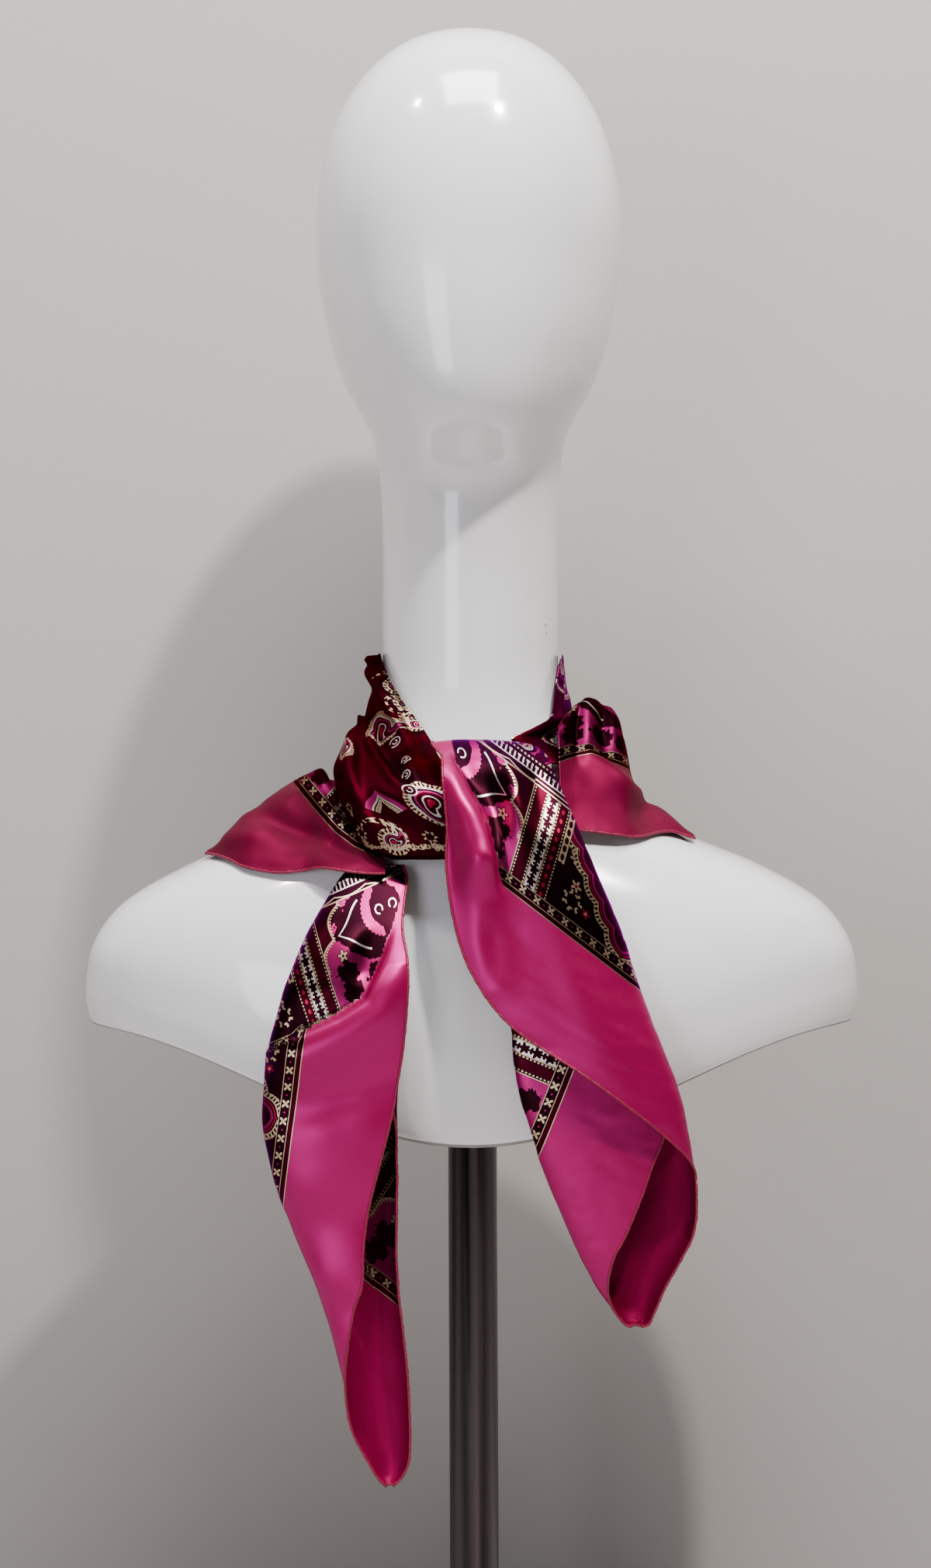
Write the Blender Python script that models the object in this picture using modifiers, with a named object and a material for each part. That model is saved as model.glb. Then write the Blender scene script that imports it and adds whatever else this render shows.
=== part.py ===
"""A satin scarf knotted once round the neck of a limbless display bust on a pole stand.

Metres, +Z up. The front of the bust faces -Y, and the origin is the middle of the base's underside.
"""
import math

import bmesh
import bpy
import numpy as np

# Driving sizes, in metres
BASE_RADIUS = 0.145
BASE_THICKNESS = 0.009
BASE_BEVEL = 0.0015
POLE_RADIUS = 0.01275
SOCKET_Z = 0.352
SOCKET_DEPTH = 0.020
SOCKET_CLEARANCE = 0.0004
SEAM_GAP = 0.0003

HEAD_WIDEST_Z = 0.795
HEAD_HALF_WIDTH = 0.0805
HEAD_DOME_HEIGHT = 0.1074
HEAD_FRONT = 0.1010
HEAD_BACK = 0.0970
HEAD_CENTRE_Y = 0.0040
HEAD_POWER = 2.15
DOME_RINGS = 6
RING_POINTS = 32
SOCKET_LIP_RADIUS = 0.030

CLOTH_WALL = 0.0012
# How round a tail's section is: 1 is a half ellipse, and less is boxier.
ROLL_ROUNDNESS = 0.75
# The front hem's share of its layer's full span, which keeps the layer off the one below at the hem.
HEM_OVERHANG = 1.22

# One row per level of the bust from below the widest part of the head down to the hollow underside.
# The shoulder levels dip at the front and back, as a cape does.
# side_z, front_z, back_z, half_width, front_y, back_y, squareness
BUST_LEVELS = (
    (0.7746, 0.7746, 0.7746, 0.0788, -0.0965, 0.0995, 2.10),
    (0.7527, 0.7527, 0.7527, 0.0755, -0.0960, 0.0950, 2.10),
    (0.7336, 0.7336, 0.7336, 0.0707, -0.0945, 0.0880, 2.10),
    (0.7165, 0.7165, 0.7165, 0.0644, -0.0920, 0.0800, 2.05),
    (0.7011, 0.7011, 0.7011, 0.0560, -0.0875, 0.0720, 2.05),
    (0.6894, 0.6894, 0.6894, 0.0503, -0.0800, 0.0670, 2.00),
    (0.6793, 0.6793, 0.6793, 0.0482, -0.0680, 0.0640, 2.00),
    (0.6672, 0.6672, 0.6672, 0.0470, -0.0545, 0.0622, 2.00),
    (0.6530, 0.6530, 0.6530, 0.0463, -0.0492, 0.0615, 2.00),
    (0.6250, 0.6250, 0.6250, 0.0460, -0.0480, 0.0615, 2.00),
    (0.5900, 0.5900, 0.5900, 0.0460, -0.0480, 0.0620, 2.00),
    (0.5650, 0.5600, 0.5720, 0.0465, -0.0485, 0.0635, 2.00),
    (0.5450, 0.5360, 0.5550, 0.0505, -0.0525, 0.0690, 2.00),
    (0.5215, 0.5120, 0.5350, 0.0620, -0.0610, 0.0775, 2.05),
    (0.5000, 0.4850, 0.5120, 0.0830, -0.0740, 0.0870, 2.10),
    (0.4835, 0.4560, 0.4860, 0.1120, -0.0865, 0.0940, 2.15),
    (0.4685, 0.4280, 0.4580, 0.1480, -0.0960, 0.0990, 2.20),
    (0.4500, 0.4000, 0.4300, 0.1800, -0.1010, 0.1010, 2.25),
    (0.4290, 0.3760, 0.4040, 0.1960, -0.1015, 0.0995, 2.30),
    (0.4070, 0.3560, 0.3820, 0.2000, -0.0990, 0.0960, 2.30),
    (0.3940, 0.3410, 0.3660, 0.1990, -0.0955, 0.0920, 2.30),
    (0.3885, 0.3345, 0.3580, 0.1965, -0.0925, 0.0890, 2.30),
    (0.3870, 0.3330, 0.3565, 0.1920, -0.0885, 0.0850, 2.30),
    (0.3800, 0.3380, 0.3570, 0.1550, -0.0720, 0.0690, 2.20),
    (0.3620, 0.3500, 0.3560, 0.0800, -0.0450, 0.0440, 2.10),
)

# Both tails are corners of the square, rolled into a cone round the tail's length. A level runs from the
# front hem over the front layer, round the fold, back behind, round the far side and under the front layer
# to the inner hem. Depths are from middle_y: front, back and the inner layer. Where the tail rolls over
# the wrap at its top, the level leans back, in degrees.
# z, fold_x, far_x, front_hem_x, inner_hem_x, middle_y, front, back, inner, lean
TAIL_RIGHT_LEVELS = (
    (0.5225, 0.0310, 0.0000, -0.0160, 0.0000, -0.0630, 0.0065, 0.0045, 0.0010, 80),
    (0.5250, 0.0330, -0.0015, -0.0185, -0.0015, -0.0690, 0.0080, 0.0048, 0.0012, 58),
    (0.5250, 0.0354, -0.0020, -0.0190, -0.0020, -0.0770, 0.0095, 0.0050, 0.0015, 36),
    (0.5210, 0.0385, -0.0009, -0.0150, -0.0009, -0.0850, 0.0110, 0.0065, 0.0035, 18),
    (0.5135, 0.0412, 0.0017, -0.0124, 0.0150, -0.0930, 0.0140, 0.0075, 0.0045, 6),
    (0.4913, 0.0503, 0.0064, -0.0118, 0.0359, -0.1010, 0.0180, 0.0080, 0.0050, 0),
    (0.4691, 0.0595, 0.0100, -0.0122, 0.0469, -0.1030, 0.0200, 0.0080, 0.0055, 0),
    (0.4394, 0.0719, 0.0146, -0.0072, 0.0597, -0.1050, 0.0200, 0.0080, 0.0060, 0),
    (0.4172, 0.0788, 0.0171, 0.0016, 0.0707, -0.1090, 0.0190, 0.0080, 0.0060, 0),
    (0.3950, 0.0865, 0.0181, 0.0189, 0.0795, -0.1125, 0.0180, 0.0085, 0.0060, 0),
    (0.3728, 0.0953, 0.0202, 0.0520, 0.0862, -0.1140, 0.0175, 0.0095, 0.0065, 0),
    (0.3580, 0.1000, 0.0231, 0.0723, 0.0900, -0.1145, 0.0170, 0.0100, 0.0075, 0),
    (0.3432, 0.1029, 0.0279, 0.0907, 0.0911, -0.1145, 0.0160, 0.0105, 0.0080, 0),
    (0.3284, 0.1054, 0.0322, 0.1043, 0.0851, -0.1140, 0.0140, 0.0110, 0.0090, 0),
    (0.3136, 0.1068, 0.0381, 0.1066, 0.0798, -0.1140, 0.0120, 0.0120, 0.0095, 0),
    (0.2951, 0.1053, 0.0458, 0.1051, 0.0720, -0.1140, 0.0100, 0.0120, 0.0095, 0),
    (0.2841, 0.1000, 0.0509, 0.0998, 0.0664, -0.1140, 0.0100, 0.0120, 0.0090, 0),
    (0.2693, 0.0918, 0.0586, 0.0916, 0.0638, -0.1130, 0.0080, 0.0110, 0.0070, 0),
    (0.2583, 0.0870, 0.0663, 0.0868, 0.0670, -0.1120, 0.0060, 0.0090, 0.0040, 0),
    (0.2524, 0.0847, 0.0711, 0.0845, 0.0713, -0.1115, 0.0040, 0.0060, 0.0020, 0),
)
TAIL_LEFT_LEVELS = (
    (0.4705, -0.0590, -0.0335, -0.0335, -0.0335, -0.0838, 0.0050, 0.0040, 0.0020, 0),
    (0.4640, -0.0645, -0.0325, -0.0315, -0.0325, -0.0875, 0.0070, 0.0045, 0.0025, 0),
    (0.4530, -0.0714, -0.0335, -0.0326, -0.0410, -0.0935, 0.0110, 0.0055, 0.0030, 0),
    (0.4401, -0.0789, -0.0355, -0.0335, -0.0500, -0.0990, 0.0160, 0.0065, 0.0040, 0),
    (0.4254, -0.0852, -0.0350, -0.0324, -0.0520, -0.1055, 0.0180, 0.0070, 0.0050, 0),
    (0.4106, -0.0905, -0.0345, -0.0317, -0.0520, -0.1110, 0.0190, 0.0080, 0.0060, 0),
    (0.3896, -0.0965, -0.0350, -0.0325, -0.0500, -0.1135, 0.0180, 0.0090, 0.0060, 0),
    (0.3755, -0.0991, -0.0352, -0.0341, -0.0450, -0.1140, 0.0180, 0.0095, 0.0060, 0),
    (0.3607, -0.1003, -0.0360, -0.0365, -0.0400, -0.1145, 0.0180, 0.0100, 0.0060, 0),
    (0.3486, -0.1004, -0.0361, -0.0394, -0.0372, -0.1150, 0.0175, 0.0105, 0.0060, 0),
    (0.3297, -0.0971, -0.0361, -0.0443, -0.0364, -0.1155, 0.0170, 0.0110, 0.0060, 0),
    (0.3119, -0.0920, -0.0362, -0.0484, -0.0364, -0.1160, 0.0165, 0.0115, 0.0060, 0),
    (0.2912, -0.0836, -0.0367, -0.0518, -0.0369, -0.1165, 0.0155, 0.0120, 0.0060, 0),
    (0.2738, -0.0763, -0.0360, -0.0527, -0.0362, -0.1170, 0.0150, 0.0120, 0.0060, 0),
    (0.2616, -0.0719, -0.0350, -0.0568, -0.0352, -0.1175, 0.0140, 0.0120, 0.0060, 0),
    (0.2460, -0.0672, -0.0332, -0.0594, -0.0334, -0.1180, 0.0130, 0.0120, 0.0060, 0),
    (0.2242, -0.0621, -0.0311, -0.0612, -0.0313, -0.1185, 0.0120, 0.0120, 0.0060, 0),
    (0.2024, -0.0581, -0.0304, -0.0579, -0.0306, -0.1185, 0.0110, 0.0110, 0.0060, 0),
    (0.1887, -0.0508, -0.0309, -0.0506, -0.0311, -0.1185, 0.0090, 0.0090, 0.0050, 0),
    (0.1805, -0.0464, -0.0342, -0.0462, -0.0344, -0.1185, 0.0060, 0.0065, 0.0030, 0),
    (0.1772, -0.0434, -0.0373, -0.0432, -0.0375, -0.1185, 0.0040, 0.0045, 0.0020, 0),
)

# The wrap and the right collar are sheets bowed out from a chord between their two edges, level by level.
# A bow of FULL_BOW or more is a full half round, and a lesser one is flatter.
FULL_BOW = 0.010
# z, left_x, left_y, right_x, right_y, bow
KNOT_LEVELS = (
    (0.5780, -0.0480, 0.0200, -0.0472, -0.0080, 0.0010),
    (0.5705, -0.0486, 0.0190, -0.0450, -0.0180, 0.0016),
    (0.5624, -0.0502, 0.0150, -0.0410, -0.0285, 0.0030),
    (0.5510, -0.0530, 0.0060, -0.0335, -0.0405, 0.0070),
    (0.5396, -0.0560, -0.0080, -0.0250, -0.0495, 0.0110),
    (0.5324, -0.0610, -0.0200, -0.0205, -0.0550, 0.0140),
    (0.5240, -0.0655, -0.0320, -0.0160, -0.0630, 0.0190),
    (0.5172, -0.0675, -0.0420, -0.0100, -0.0730, 0.0220),
    (0.5072, -0.0655, -0.0530, -0.0010, -0.0860, 0.0230),
    (0.4950, -0.0615, -0.0650, 0.0040, -0.0910, 0.0210),
    (0.4824, -0.0545, -0.0810, 0.0040, -0.0950, 0.0150),
    (0.4765, -0.0460, -0.0910, -0.0030, -0.0970, 0.0100),
    (0.4735, -0.0380, -0.0950, -0.0130, -0.0970, 0.0050),
)
COLLAR_RIGHT_LEVELS = (
    (0.5770, 0.0472, -0.0070, 0.0480, 0.0200, 0.0010),
    (0.5686, 0.0456, -0.0160, 0.0494, 0.0175, 0.0016),
    (0.5597, 0.0438, -0.0245, 0.0508, 0.0115, 0.0025),
    (0.5541, 0.0428, -0.0300, 0.0520, 0.0050, 0.0030),
    (0.5465, 0.0415, -0.0370, 0.0525, -0.0040, 0.0038),
    (0.5424, 0.0390, -0.0430, 0.0518, -0.0120, 0.0040),
    (0.5375, 0.0300, -0.0515, 0.0472, -0.0260, 0.0040),
    (0.5325, 0.0200, -0.0580, 0.0425, -0.0370, 0.0035),
)

# The two corners that lie out on the shoulders: a section at each x from the hem up over the ridge and down
# behind it.
# x, hem_y, hem_z, ridge_y, ridge_z, back_y, back_z, belly
SHOULDER_LEFT_SECTIONS = (
    (-0.1362, -0.0245, 0.4752, -0.0180, 0.4765, -0.0120, 0.4768, 0.0002),
    (-0.1300, -0.0370, 0.4748, -0.0180, 0.4805, -0.0010, 0.4790, 0.0020),
    (-0.1218, -0.0510, 0.4728, -0.0160, 0.4900, 0.0090, 0.4850, 0.0040),
    (-0.1118, -0.0640, 0.4690, -0.0160, 0.4990, 0.0150, 0.4890, 0.0050),
    (-0.0962, -0.0735, 0.4668, -0.0160, 0.5090, 0.0210, 0.4960, 0.0050),
    (-0.0834, -0.0780, 0.4678, -0.0180, 0.5160, 0.0240, 0.5040, 0.0040),
    (-0.0760, -0.0830, 0.4692, -0.0240, 0.5175, 0.0160, 0.5100, 0.0030),
    (-0.0700, -0.0880, 0.4692, -0.0440, 0.5060, -0.0250, 0.5120, 0.0010),
    (-0.0620, -0.0920, 0.4680, -0.0600, 0.4930, -0.0500, 0.5000, 0.0005),
    (-0.0520, -0.0945, 0.4668, -0.0800, 0.4800, -0.0745, 0.4870, 0.0000),
    (-0.0420, -0.0985, 0.4668, -0.0915, 0.4712, -0.0895, 0.4728, 0.0000),
)
SHOULDER_RIGHT_SECTIONS = (
    (0.0440, -0.0760, 0.4880, -0.0520, 0.5290, -0.0460, 0.5320, 0.0010),
    (0.0500, -0.0740, 0.4875, -0.0400, 0.5340, -0.0280, 0.5355, 0.0020),
    (0.0575, -0.0720, 0.4865, -0.0220, 0.5480, 0.0040, 0.5430, 0.0030),
    (0.0692, -0.0690, 0.4850, -0.0120, 0.5500, 0.0220, 0.5300, 0.0030),
    (0.0791, -0.0640, 0.4835, -0.0120, 0.5270, 0.0240, 0.5150, 0.0030),
    (0.0857, -0.0580, 0.4835, -0.0140, 0.5040, 0.0200, 0.5010, 0.0020),
    (0.0961, -0.0450, 0.4855, -0.0160, 0.4950, 0.0080, 0.4945, 0.0010),
    (0.1044, -0.0380, 0.4850, -0.0220, 0.4895, -0.0060, 0.4905, 0.0005),
    (0.1140, -0.0350, 0.4818, -0.0290, 0.4828, -0.0230, 0.4838, 0.0001),
)

# Round the nape the cloth stands up as a soft roll and falls on the back of the bust, whose own levels it
# follows a little further out.
NAPE_FIRST_LEVEL = 11
NAPE_LAST_LEVEL = 14
NAPE_END_TURN = math.radians(17)
NAPE_CLEARANCE = 0.0035
NAPE_ROLL_RISE = 0.0130
NAPE_ROLL_WIDTH = 0.0100
NAPE_PLEATS = 4
NAPE_PLEAT_DEPTH = 0.0012

# The largest creases of the front, seen from the front: a line from its upper to its lower end, how far it
# lifts the cloth (or sinks it, when negative), and how wide it runs out to its left and to its right.
# x1, z1, x2, z2, lift, left_width, right_width
TAIL_RIGHT_CREASES = (
    (0.0160, 0.4530, 0.0260, 0.3990, -0.0090, 0.0080, 0.0070),
    (0.0090, 0.4450, 0.0040, 0.4200, 0.0030, 0.0060, 0.0070),
    (0.0270, 0.4480, 0.0340, 0.4080, 0.0040, 0.0070, 0.0140),
    (0.0080, 0.5080, 0.0090, 0.4700, -0.0050, 0.0060, 0.0080),
    (0.0220, 0.5130, 0.0300, 0.4850, 0.0030, 0.0060, 0.0080),
)
TAIL_LEFT_CREASES = (
    (-0.0360, 0.4420, -0.0480, 0.4110, 0.0060, 0.0140, 0.0035),
    (-0.0480, 0.4110, -0.0780, 0.3930, 0.0070, 0.0140, 0.0035),
    (-0.0520, 0.4520, -0.0620, 0.4250, -0.0040, 0.0060, 0.0060),
    (-0.0760, 0.3840, -0.0560, 0.3920, 0.0040, 0.0060, 0.0060),
)
KNOT_CREASES = (
    (-0.0430, 0.5560, -0.0240, 0.5180, -0.0060, 0.0045, 0.0040),
    (-0.0490, 0.5420, -0.0390, 0.5130, 0.0040, 0.0070, 0.0060),
    (-0.0600, 0.5200, -0.0580, 0.4950, -0.0060, 0.0040, 0.0050),
    (-0.0200, 0.5150, -0.0060, 0.4960, -0.0040, 0.0060, 0.0060),
)


def clear_scene():
    for old in list(bpy.data.objects):
        bpy.data.objects.remove(old, do_unlink=True)


def new_collection(name):
    made = bpy.data.collections.new(name)
    bpy.context.scene.collection.children.link(made)
    return made


def finish(name, color, roughness, metallic=0.0, coat=0.0, sheen=0.0):
    """A Principled material with the part's own colour and gloss."""
    made = bpy.data.materials.new(name)
    made.use_nodes = True
    shader = made.node_tree.nodes["Principled BSDF"]
    shader.inputs["Base Color"].default_value = (*color, 1.0)
    shader.inputs["Roughness"].default_value = roughness
    shader.inputs["Metallic"].default_value = metallic
    shader.inputs["Coat Weight"].default_value = coat
    shader.inputs["Sheen Weight"].default_value = sheen
    made.diffuse_color = (*color, 1.0)
    return made


def smooth_rows(rows, steps):
    """The rows of a table with steps - 1 more between each pair, on a Catmull-Rom curve."""
    rows = np.array(rows, float)
    before = 2 * rows[0] - rows[1]
    after = 2 * rows[-1] - rows[-2]
    knots = np.vstack([before, rows, after])
    out = []
    for a, b, c, d in zip(knots, knots[1:], knots[2:], knots[3:]):
        for t in np.arange(steps) / steps:
            square, cube = t * t, t ** 3
            bend = (2 * a - 5 * b + 4 * c - d) * square
            out.append(0.5 * (2 * b + (c - a) * t + bend + (3 * b - a - 3 * c + d) * cube))
    out.append(rows[-1])
    return np.array(out)


def mesh_part(name, points, faces, material, group):
    mesh = bpy.data.meshes.new(name)
    mesh.from_pydata([tuple(map(float, p)) for p in points], [], faces)
    mesh.materials.append(material)
    mesh.shade_smooth()
    part = bpy.data.objects.new(name, mesh)
    group.objects.link(part)
    return part


# ---------------------------------------------------------------- stand

def stand_base(group, steel):
    """A plain round steel plate that lies on the table."""
    mesh = bpy.data.meshes.new("stand_base")
    shape = bmesh.new()
    bmesh.ops.create_cone(shape, cap_ends=True, segments=64, radius1=BASE_RADIUS,
                          radius2=BASE_RADIUS, depth=BASE_THICKNESS)
    shape.to_mesh(mesh)
    shape.free()
    mesh.materials.append(steel)
    part = bpy.data.objects.new("stand_base", mesh)
    part.location = (0, 0, BASE_THICKNESS / 2)
    bevel = part.modifiers.new("rounded edge", "BEVEL")
    bevel.width = BASE_BEVEL
    bevel.segments = 2
    bevel.limit_method = "ANGLE"
    group.objects.link(part)
    return part


def stand_pole(group, steel):
    """A straight steel tube, plugged into the bust's socket."""
    foot = BASE_THICKNESS + SEAM_GAP
    top = SOCKET_Z + SOCKET_DEPTH - SEAM_GAP
    mesh = bpy.data.meshes.new("stand_pole")
    shape = bmesh.new()
    bmesh.ops.create_cone(shape, cap_ends=True, segments=32, radius1=POLE_RADIUS,
                          radius2=POLE_RADIUS, depth=top - foot)
    shape.to_mesh(mesh)
    shape.free()
    mesh.materials.append(steel)
    part = bpy.data.objects.new("stand_pole", mesh)
    part.location = (0, 0, (foot + top) / 2)
    group.objects.link(part)
    return part


# ---------------------------------------------------------------- bust

def head_dome_levels():
    """Levels of the egg's upper half, on a superellipse."""
    levels = []
    for step in range(1, DOME_RINGS + 1):
        turn = math.pi / 2 * (1 - step / DOME_RINGS)
        up = math.sin(turn) ** (2 / HEAD_POWER)
        out = math.cos(turn) ** (2 / HEAD_POWER)
        z = HEAD_WIDEST_Z + HEAD_DOME_HEIGHT * up
        front = HEAD_CENTRE_Y - HEAD_FRONT * out
        back = HEAD_CENTRE_Y + HEAD_BACK * out
        levels.append((z, z, z, HEAD_HALF_WIDTH * out, front, back, HEAD_POWER))
    return levels


def cape_point(level, turn):
    """A point of one level of the bust, whose height changes from its sides to its front and back."""
    side_z, front_z, back_z, half_width, front_y, back_y, squareness = level
    c, s = math.cos(turn), math.sin(turn)
    x = math.copysign(abs(c) ** (2 / squareness), c)
    y = math.copysign(abs(s) ** (2 / squareness), s)
    middle_z = back_z if s > 0 else front_z
    rise = (1 - math.cos(math.pi * abs(x))) / 2
    z = middle_z + (side_z - middle_z) * rise
    return half_width * x, (front_y + back_y) / 2 + (back_y - front_y) / 2 * y, z


def cape_ring(level, count):
    return [cape_point(level, turn) for turn in np.arange(count) * 2 * math.pi / count]


def round_ring(radius, z, count):
    turns = np.arange(count) * 2 * math.pi / count
    return [(radius * math.cos(t), radius * math.sin(t), z) for t in turns]


def bust(group, gloss):
    """Head, neck and shoulders in one moulding, with the pole's socket in its underside."""
    levels = head_dome_levels() + list(BUST_LEVELS)
    rings = [cape_ring(level, RING_POINTS) for level in smooth_rows(levels, 2)[1:]]
    bore = POLE_RADIUS + SOCKET_CLEARANCE
    rings.append(round_ring(SOCKET_LIP_RADIUS, SOCKET_Z, RING_POINTS))
    rings.append(round_ring(bore, SOCKET_Z, RING_POINTS))
    rings.append(round_ring(bore, SOCKET_Z + SOCKET_DEPTH, RING_POINTS))
    points = [p for ring in rings for p in ring]
    crown, roof = len(points), len(points) + 1
    points.append((0, HEAD_CENTRE_Y, HEAD_WIDEST_Z + HEAD_DOME_HEIGHT))
    points.append((0, 0, SOCKET_Z + SOCKET_DEPTH))
    faces = []
    for r in range(len(rings) - 1):
        for i in range(RING_POINTS):
            j = (i + 1) % RING_POINTS
            a, b = r * RING_POINTS, (r + 1) * RING_POINTS
            faces.append((a + j, a + i, b + i, b + j))
    last = (len(rings) - 1) * RING_POINTS
    for i in range(RING_POINTS):
        j = (i + 1) % RING_POINTS
        faces.append((crown, i, j))
        faces.append((last + j, last + i, roof))
    return mesh_part("bust", points, faces, gloss, group)


# ---------------------------------------------------------------- scarf

def even_steps(path, count):
    """The points of a path, respaced evenly along it."""
    path = np.array(path, float)
    gone = np.concatenate([[0], np.cumsum(np.linalg.norm(np.diff(path, axis=0), axis=1))])
    at = np.linspace(0, gone[-1], count)
    return np.stack([np.interp(at, gone, path[:, k]) for k in range(path.shape[1])], axis=1)


def crease_lift(x, z, creases):
    """How far the creases lift the cloth at a place seen from the front."""
    lift = 0.0
    for x1, z1, x2, z2, height, left_width, right_width in creases:
        run_x, run_z = x2 - x1, z2 - z1
        length = math.hypot(run_x, run_z)
        along = ((x - x1) * run_x + (z - z1) * run_z) / length ** 2
        beside = ((z - z1) * run_x - (x - x1) * run_z) / length
        if not -0.2 < along < 1.2:
            continue
        width = right_width if beside > 0 else left_width
        ends = math.sin(math.pi * (along + 0.2) / 1.4)
        lift += height * ends * math.exp(-(beside / width) ** 2)
    return lift


def creased(grid, free, creases, side):
    """A grid moved along its own normals by its creases, as far as each point is free to move."""
    grid = np.array(grid, float)
    down = np.gradient(grid, axis=0)
    across = np.gradient(grid, axis=1)
    out = np.cross(down, across) * side
    out /= np.linalg.norm(out, axis=2, keepdims=True)
    for row, column in np.ndindex(grid.shape[:2]):
        x, y, z = grid[row, column]
        grid[row, column] += out[row, column] * free[row][column] * crease_lift(x, z, creases)
    return grid.tolist()


def tail_level(level, count):
    """One level of a rolled tail, from its front hem to its inner hem, with each point's turn."""
    z, fold_x, far_x, front_hem_x, inner_hem_x, middle_y, front, back, inner, lean = level
    side = math.copysign(1, fold_x - far_x)
    far = abs(fold_x - far_x)
    hem = max(side * (fold_x - front_hem_x), 0)
    front_span = max(far, hem * HEM_OVERHANG)
    under = max(side * (inner_hem_x - far_x), 0)
    start = math.acos(1 - 2 * hem / front_span)
    end = math.acos(1 - 2 * min(under / far, 0.98))
    tip_y, tip_z = math.cos(math.radians(lean)), math.sin(math.radians(lean))
    path = []
    for turn in np.linspace(start, -math.pi - end, 160):
        span = front_span if turn > 0 else far
        if turn > 0:
            depth = -front
        elif turn > -math.pi:
            depth = back
        else:
            depth = -inner
        depth *= abs(math.sin(turn)) ** ROLL_ROUNDNESS
        across = span * (1 - math.cos(turn)) / 2
        path.append((fold_x - side * across, middle_y + depth * tip_y, z - depth * tip_z, turn))
    return even_steps(path, count)


def tail_grid(levels, creases, steps, count, side):
    """A rolled tail. Its creases are in the layer that shows in front."""
    rows = np.array([tail_level(level, count) for level in smooth_rows(levels, steps)])
    free = np.clip(rows[:, :, 3] / 0.6, 0, 1)
    return creased(rows[:, :, :3], free, creases, side)


def bowed_grid(levels, creases, steps, count, side):
    """A sheet bowed out from the chord between its two edges, level by level."""
    grid, free = [], []
    for z, left_x, left_y, right_x, right_y, bow in smooth_rows(levels, steps):
        run_x, run_y = right_x - left_x, right_y - left_y
        length = math.hypot(run_x, run_y)
        out_x, out_y = run_y / length, -run_x / length
        turns = np.linspace(0, math.pi, count)
        fullness = min(bow / FULL_BOW, 1)
        shares = fullness * (1 - np.cos(turns)) / 2 + (1 - fullness) * turns / math.pi
        rises = bow * np.sin(turns)
        grid.append([(left_x + run_x * share + out_x * rise, left_y + run_y * share + out_y * rise, z)
                     for share, rise in zip(shares, rises)])
        free.append(np.sin(turns))
    return creased(grid, free, creases, side)


def shoulder_grid(sections, steps, count):
    """A corner of the square on a shoulder, from its hem over the ridge."""
    grid = []
    for section in smooth_rows(sections, steps):
        x, hem_y, hem_z, ridge_y, ridge_z, back_y, back_z, belly = section
        middle_y = 0.5 * (hem_y + ridge_y) - belly
        middle_z = 0.5 * (hem_z + ridge_z) + belly
        path = smooth_rows(((hem_y, hem_z), (middle_y, middle_z), (ridge_y, ridge_z), (back_y, back_z)), 8)
        grid.append([(x, y, z) for y, z in even_steps(path, count)])
    return grid


def nape_grid(count_round, steps):
    """The cloth round the nape: from inside its standing roll, over, and down the back of the bust."""
    levels = smooth_rows(BUST_LEVELS[NAPE_FIRST_LEVEL:NAPE_LAST_LEVEL + 1], steps)
    grid = []
    for share in np.linspace(0, 1, count_round):
        turn = NAPE_END_TURN + (math.pi - 2 * NAPE_END_TURN) * share
        fullness = 0.35 + 0.65 * math.sin(math.pi * share)
        out = np.array((math.cos(turn), math.sin(turn), 0.0))
        top = np.array(cape_point(levels[0], turn)) + out * 0.6 * NAPE_CLEARANCE
        roll = NAPE_ROLL_WIDTH * fullness
        rise = NAPE_ROLL_RISE * (0.35 + 0.65 * fullness)
        row = []
        for lift in np.linspace(0, 1, 5)[:-1]:
            angle = math.pi * lift
            row.append(top + out * roll * (1 - math.cos(angle)) / 2 + (0, 0, rise * math.sin(angle)))
        for step, level in enumerate(levels):
            down = step / (len(levels) - 1)
            pleat = NAPE_PLEAT_DEPTH * math.sin(2 * math.pi * NAPE_PLEATS * down) * fullness
            puff = NAPE_CLEARANCE + (roll - 0.6 * NAPE_CLEARANCE) * (1 - down) ** 2 + pleat
            row.append(np.array(cape_point(level, turn)) + out * max(puff, NAPE_CLEARANCE * (0.6 + 0.4 * down)))
        grid.append([tuple(p) for p in row])
    return grid


def cloth_part(name, grid, outside_first, satin, group):
    """A sheet through a grid of points, thickened inwards to the cloth's wall."""
    columns = len(grid[0])
    points = [p for row in grid for p in row]
    faces = []
    for r in range(len(grid) - 1):
        for c in range(columns - 1):
            a = r * columns + c
            face = (a, a + columns, a + columns + 1, a + 1)
            faces.append(face if outside_first else face[::-1])
    part = mesh_part(name, points, faces, satin, group)
    wall = part.modifiers.new("cloth wall", "SOLIDIFY")
    wall.thickness = CLOTH_WALL
    wall.offset = -1
    return part


def scarf(group, satin):
    tail_right = tail_grid(TAIL_RIGHT_LEVELS, TAIL_RIGHT_CREASES, 2, 26, -1)
    tail_left = tail_grid(TAIL_LEFT_LEVELS, TAIL_LEFT_CREASES, 2, 22, 1)
    knot = bowed_grid(KNOT_LEVELS, KNOT_CREASES, 2, 16, -1)
    collar_right = bowed_grid(COLLAR_RIGHT_LEVELS, (), 2, 10, -1)
    cloth_part("scarf_tail_right", tail_right, True, satin, group)
    cloth_part("scarf_tail_left", tail_left, False, satin, group)
    cloth_part("scarf_knot", knot, True, satin, group)
    cloth_part("scarf_collar_right", collar_right, True, satin, group)
    cloth_part("scarf_shoulder_left", shoulder_grid(SHOULDER_LEFT_SECTIONS, 2, 14), True, satin, group)
    cloth_part("scarf_shoulder_right", shoulder_grid(SHOULDER_RIGHT_SECTIONS, 2, 14), True, satin, group)
    cloth_part("scarf_collar_back", nape_grid(21, 2), True, satin, group)


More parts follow.
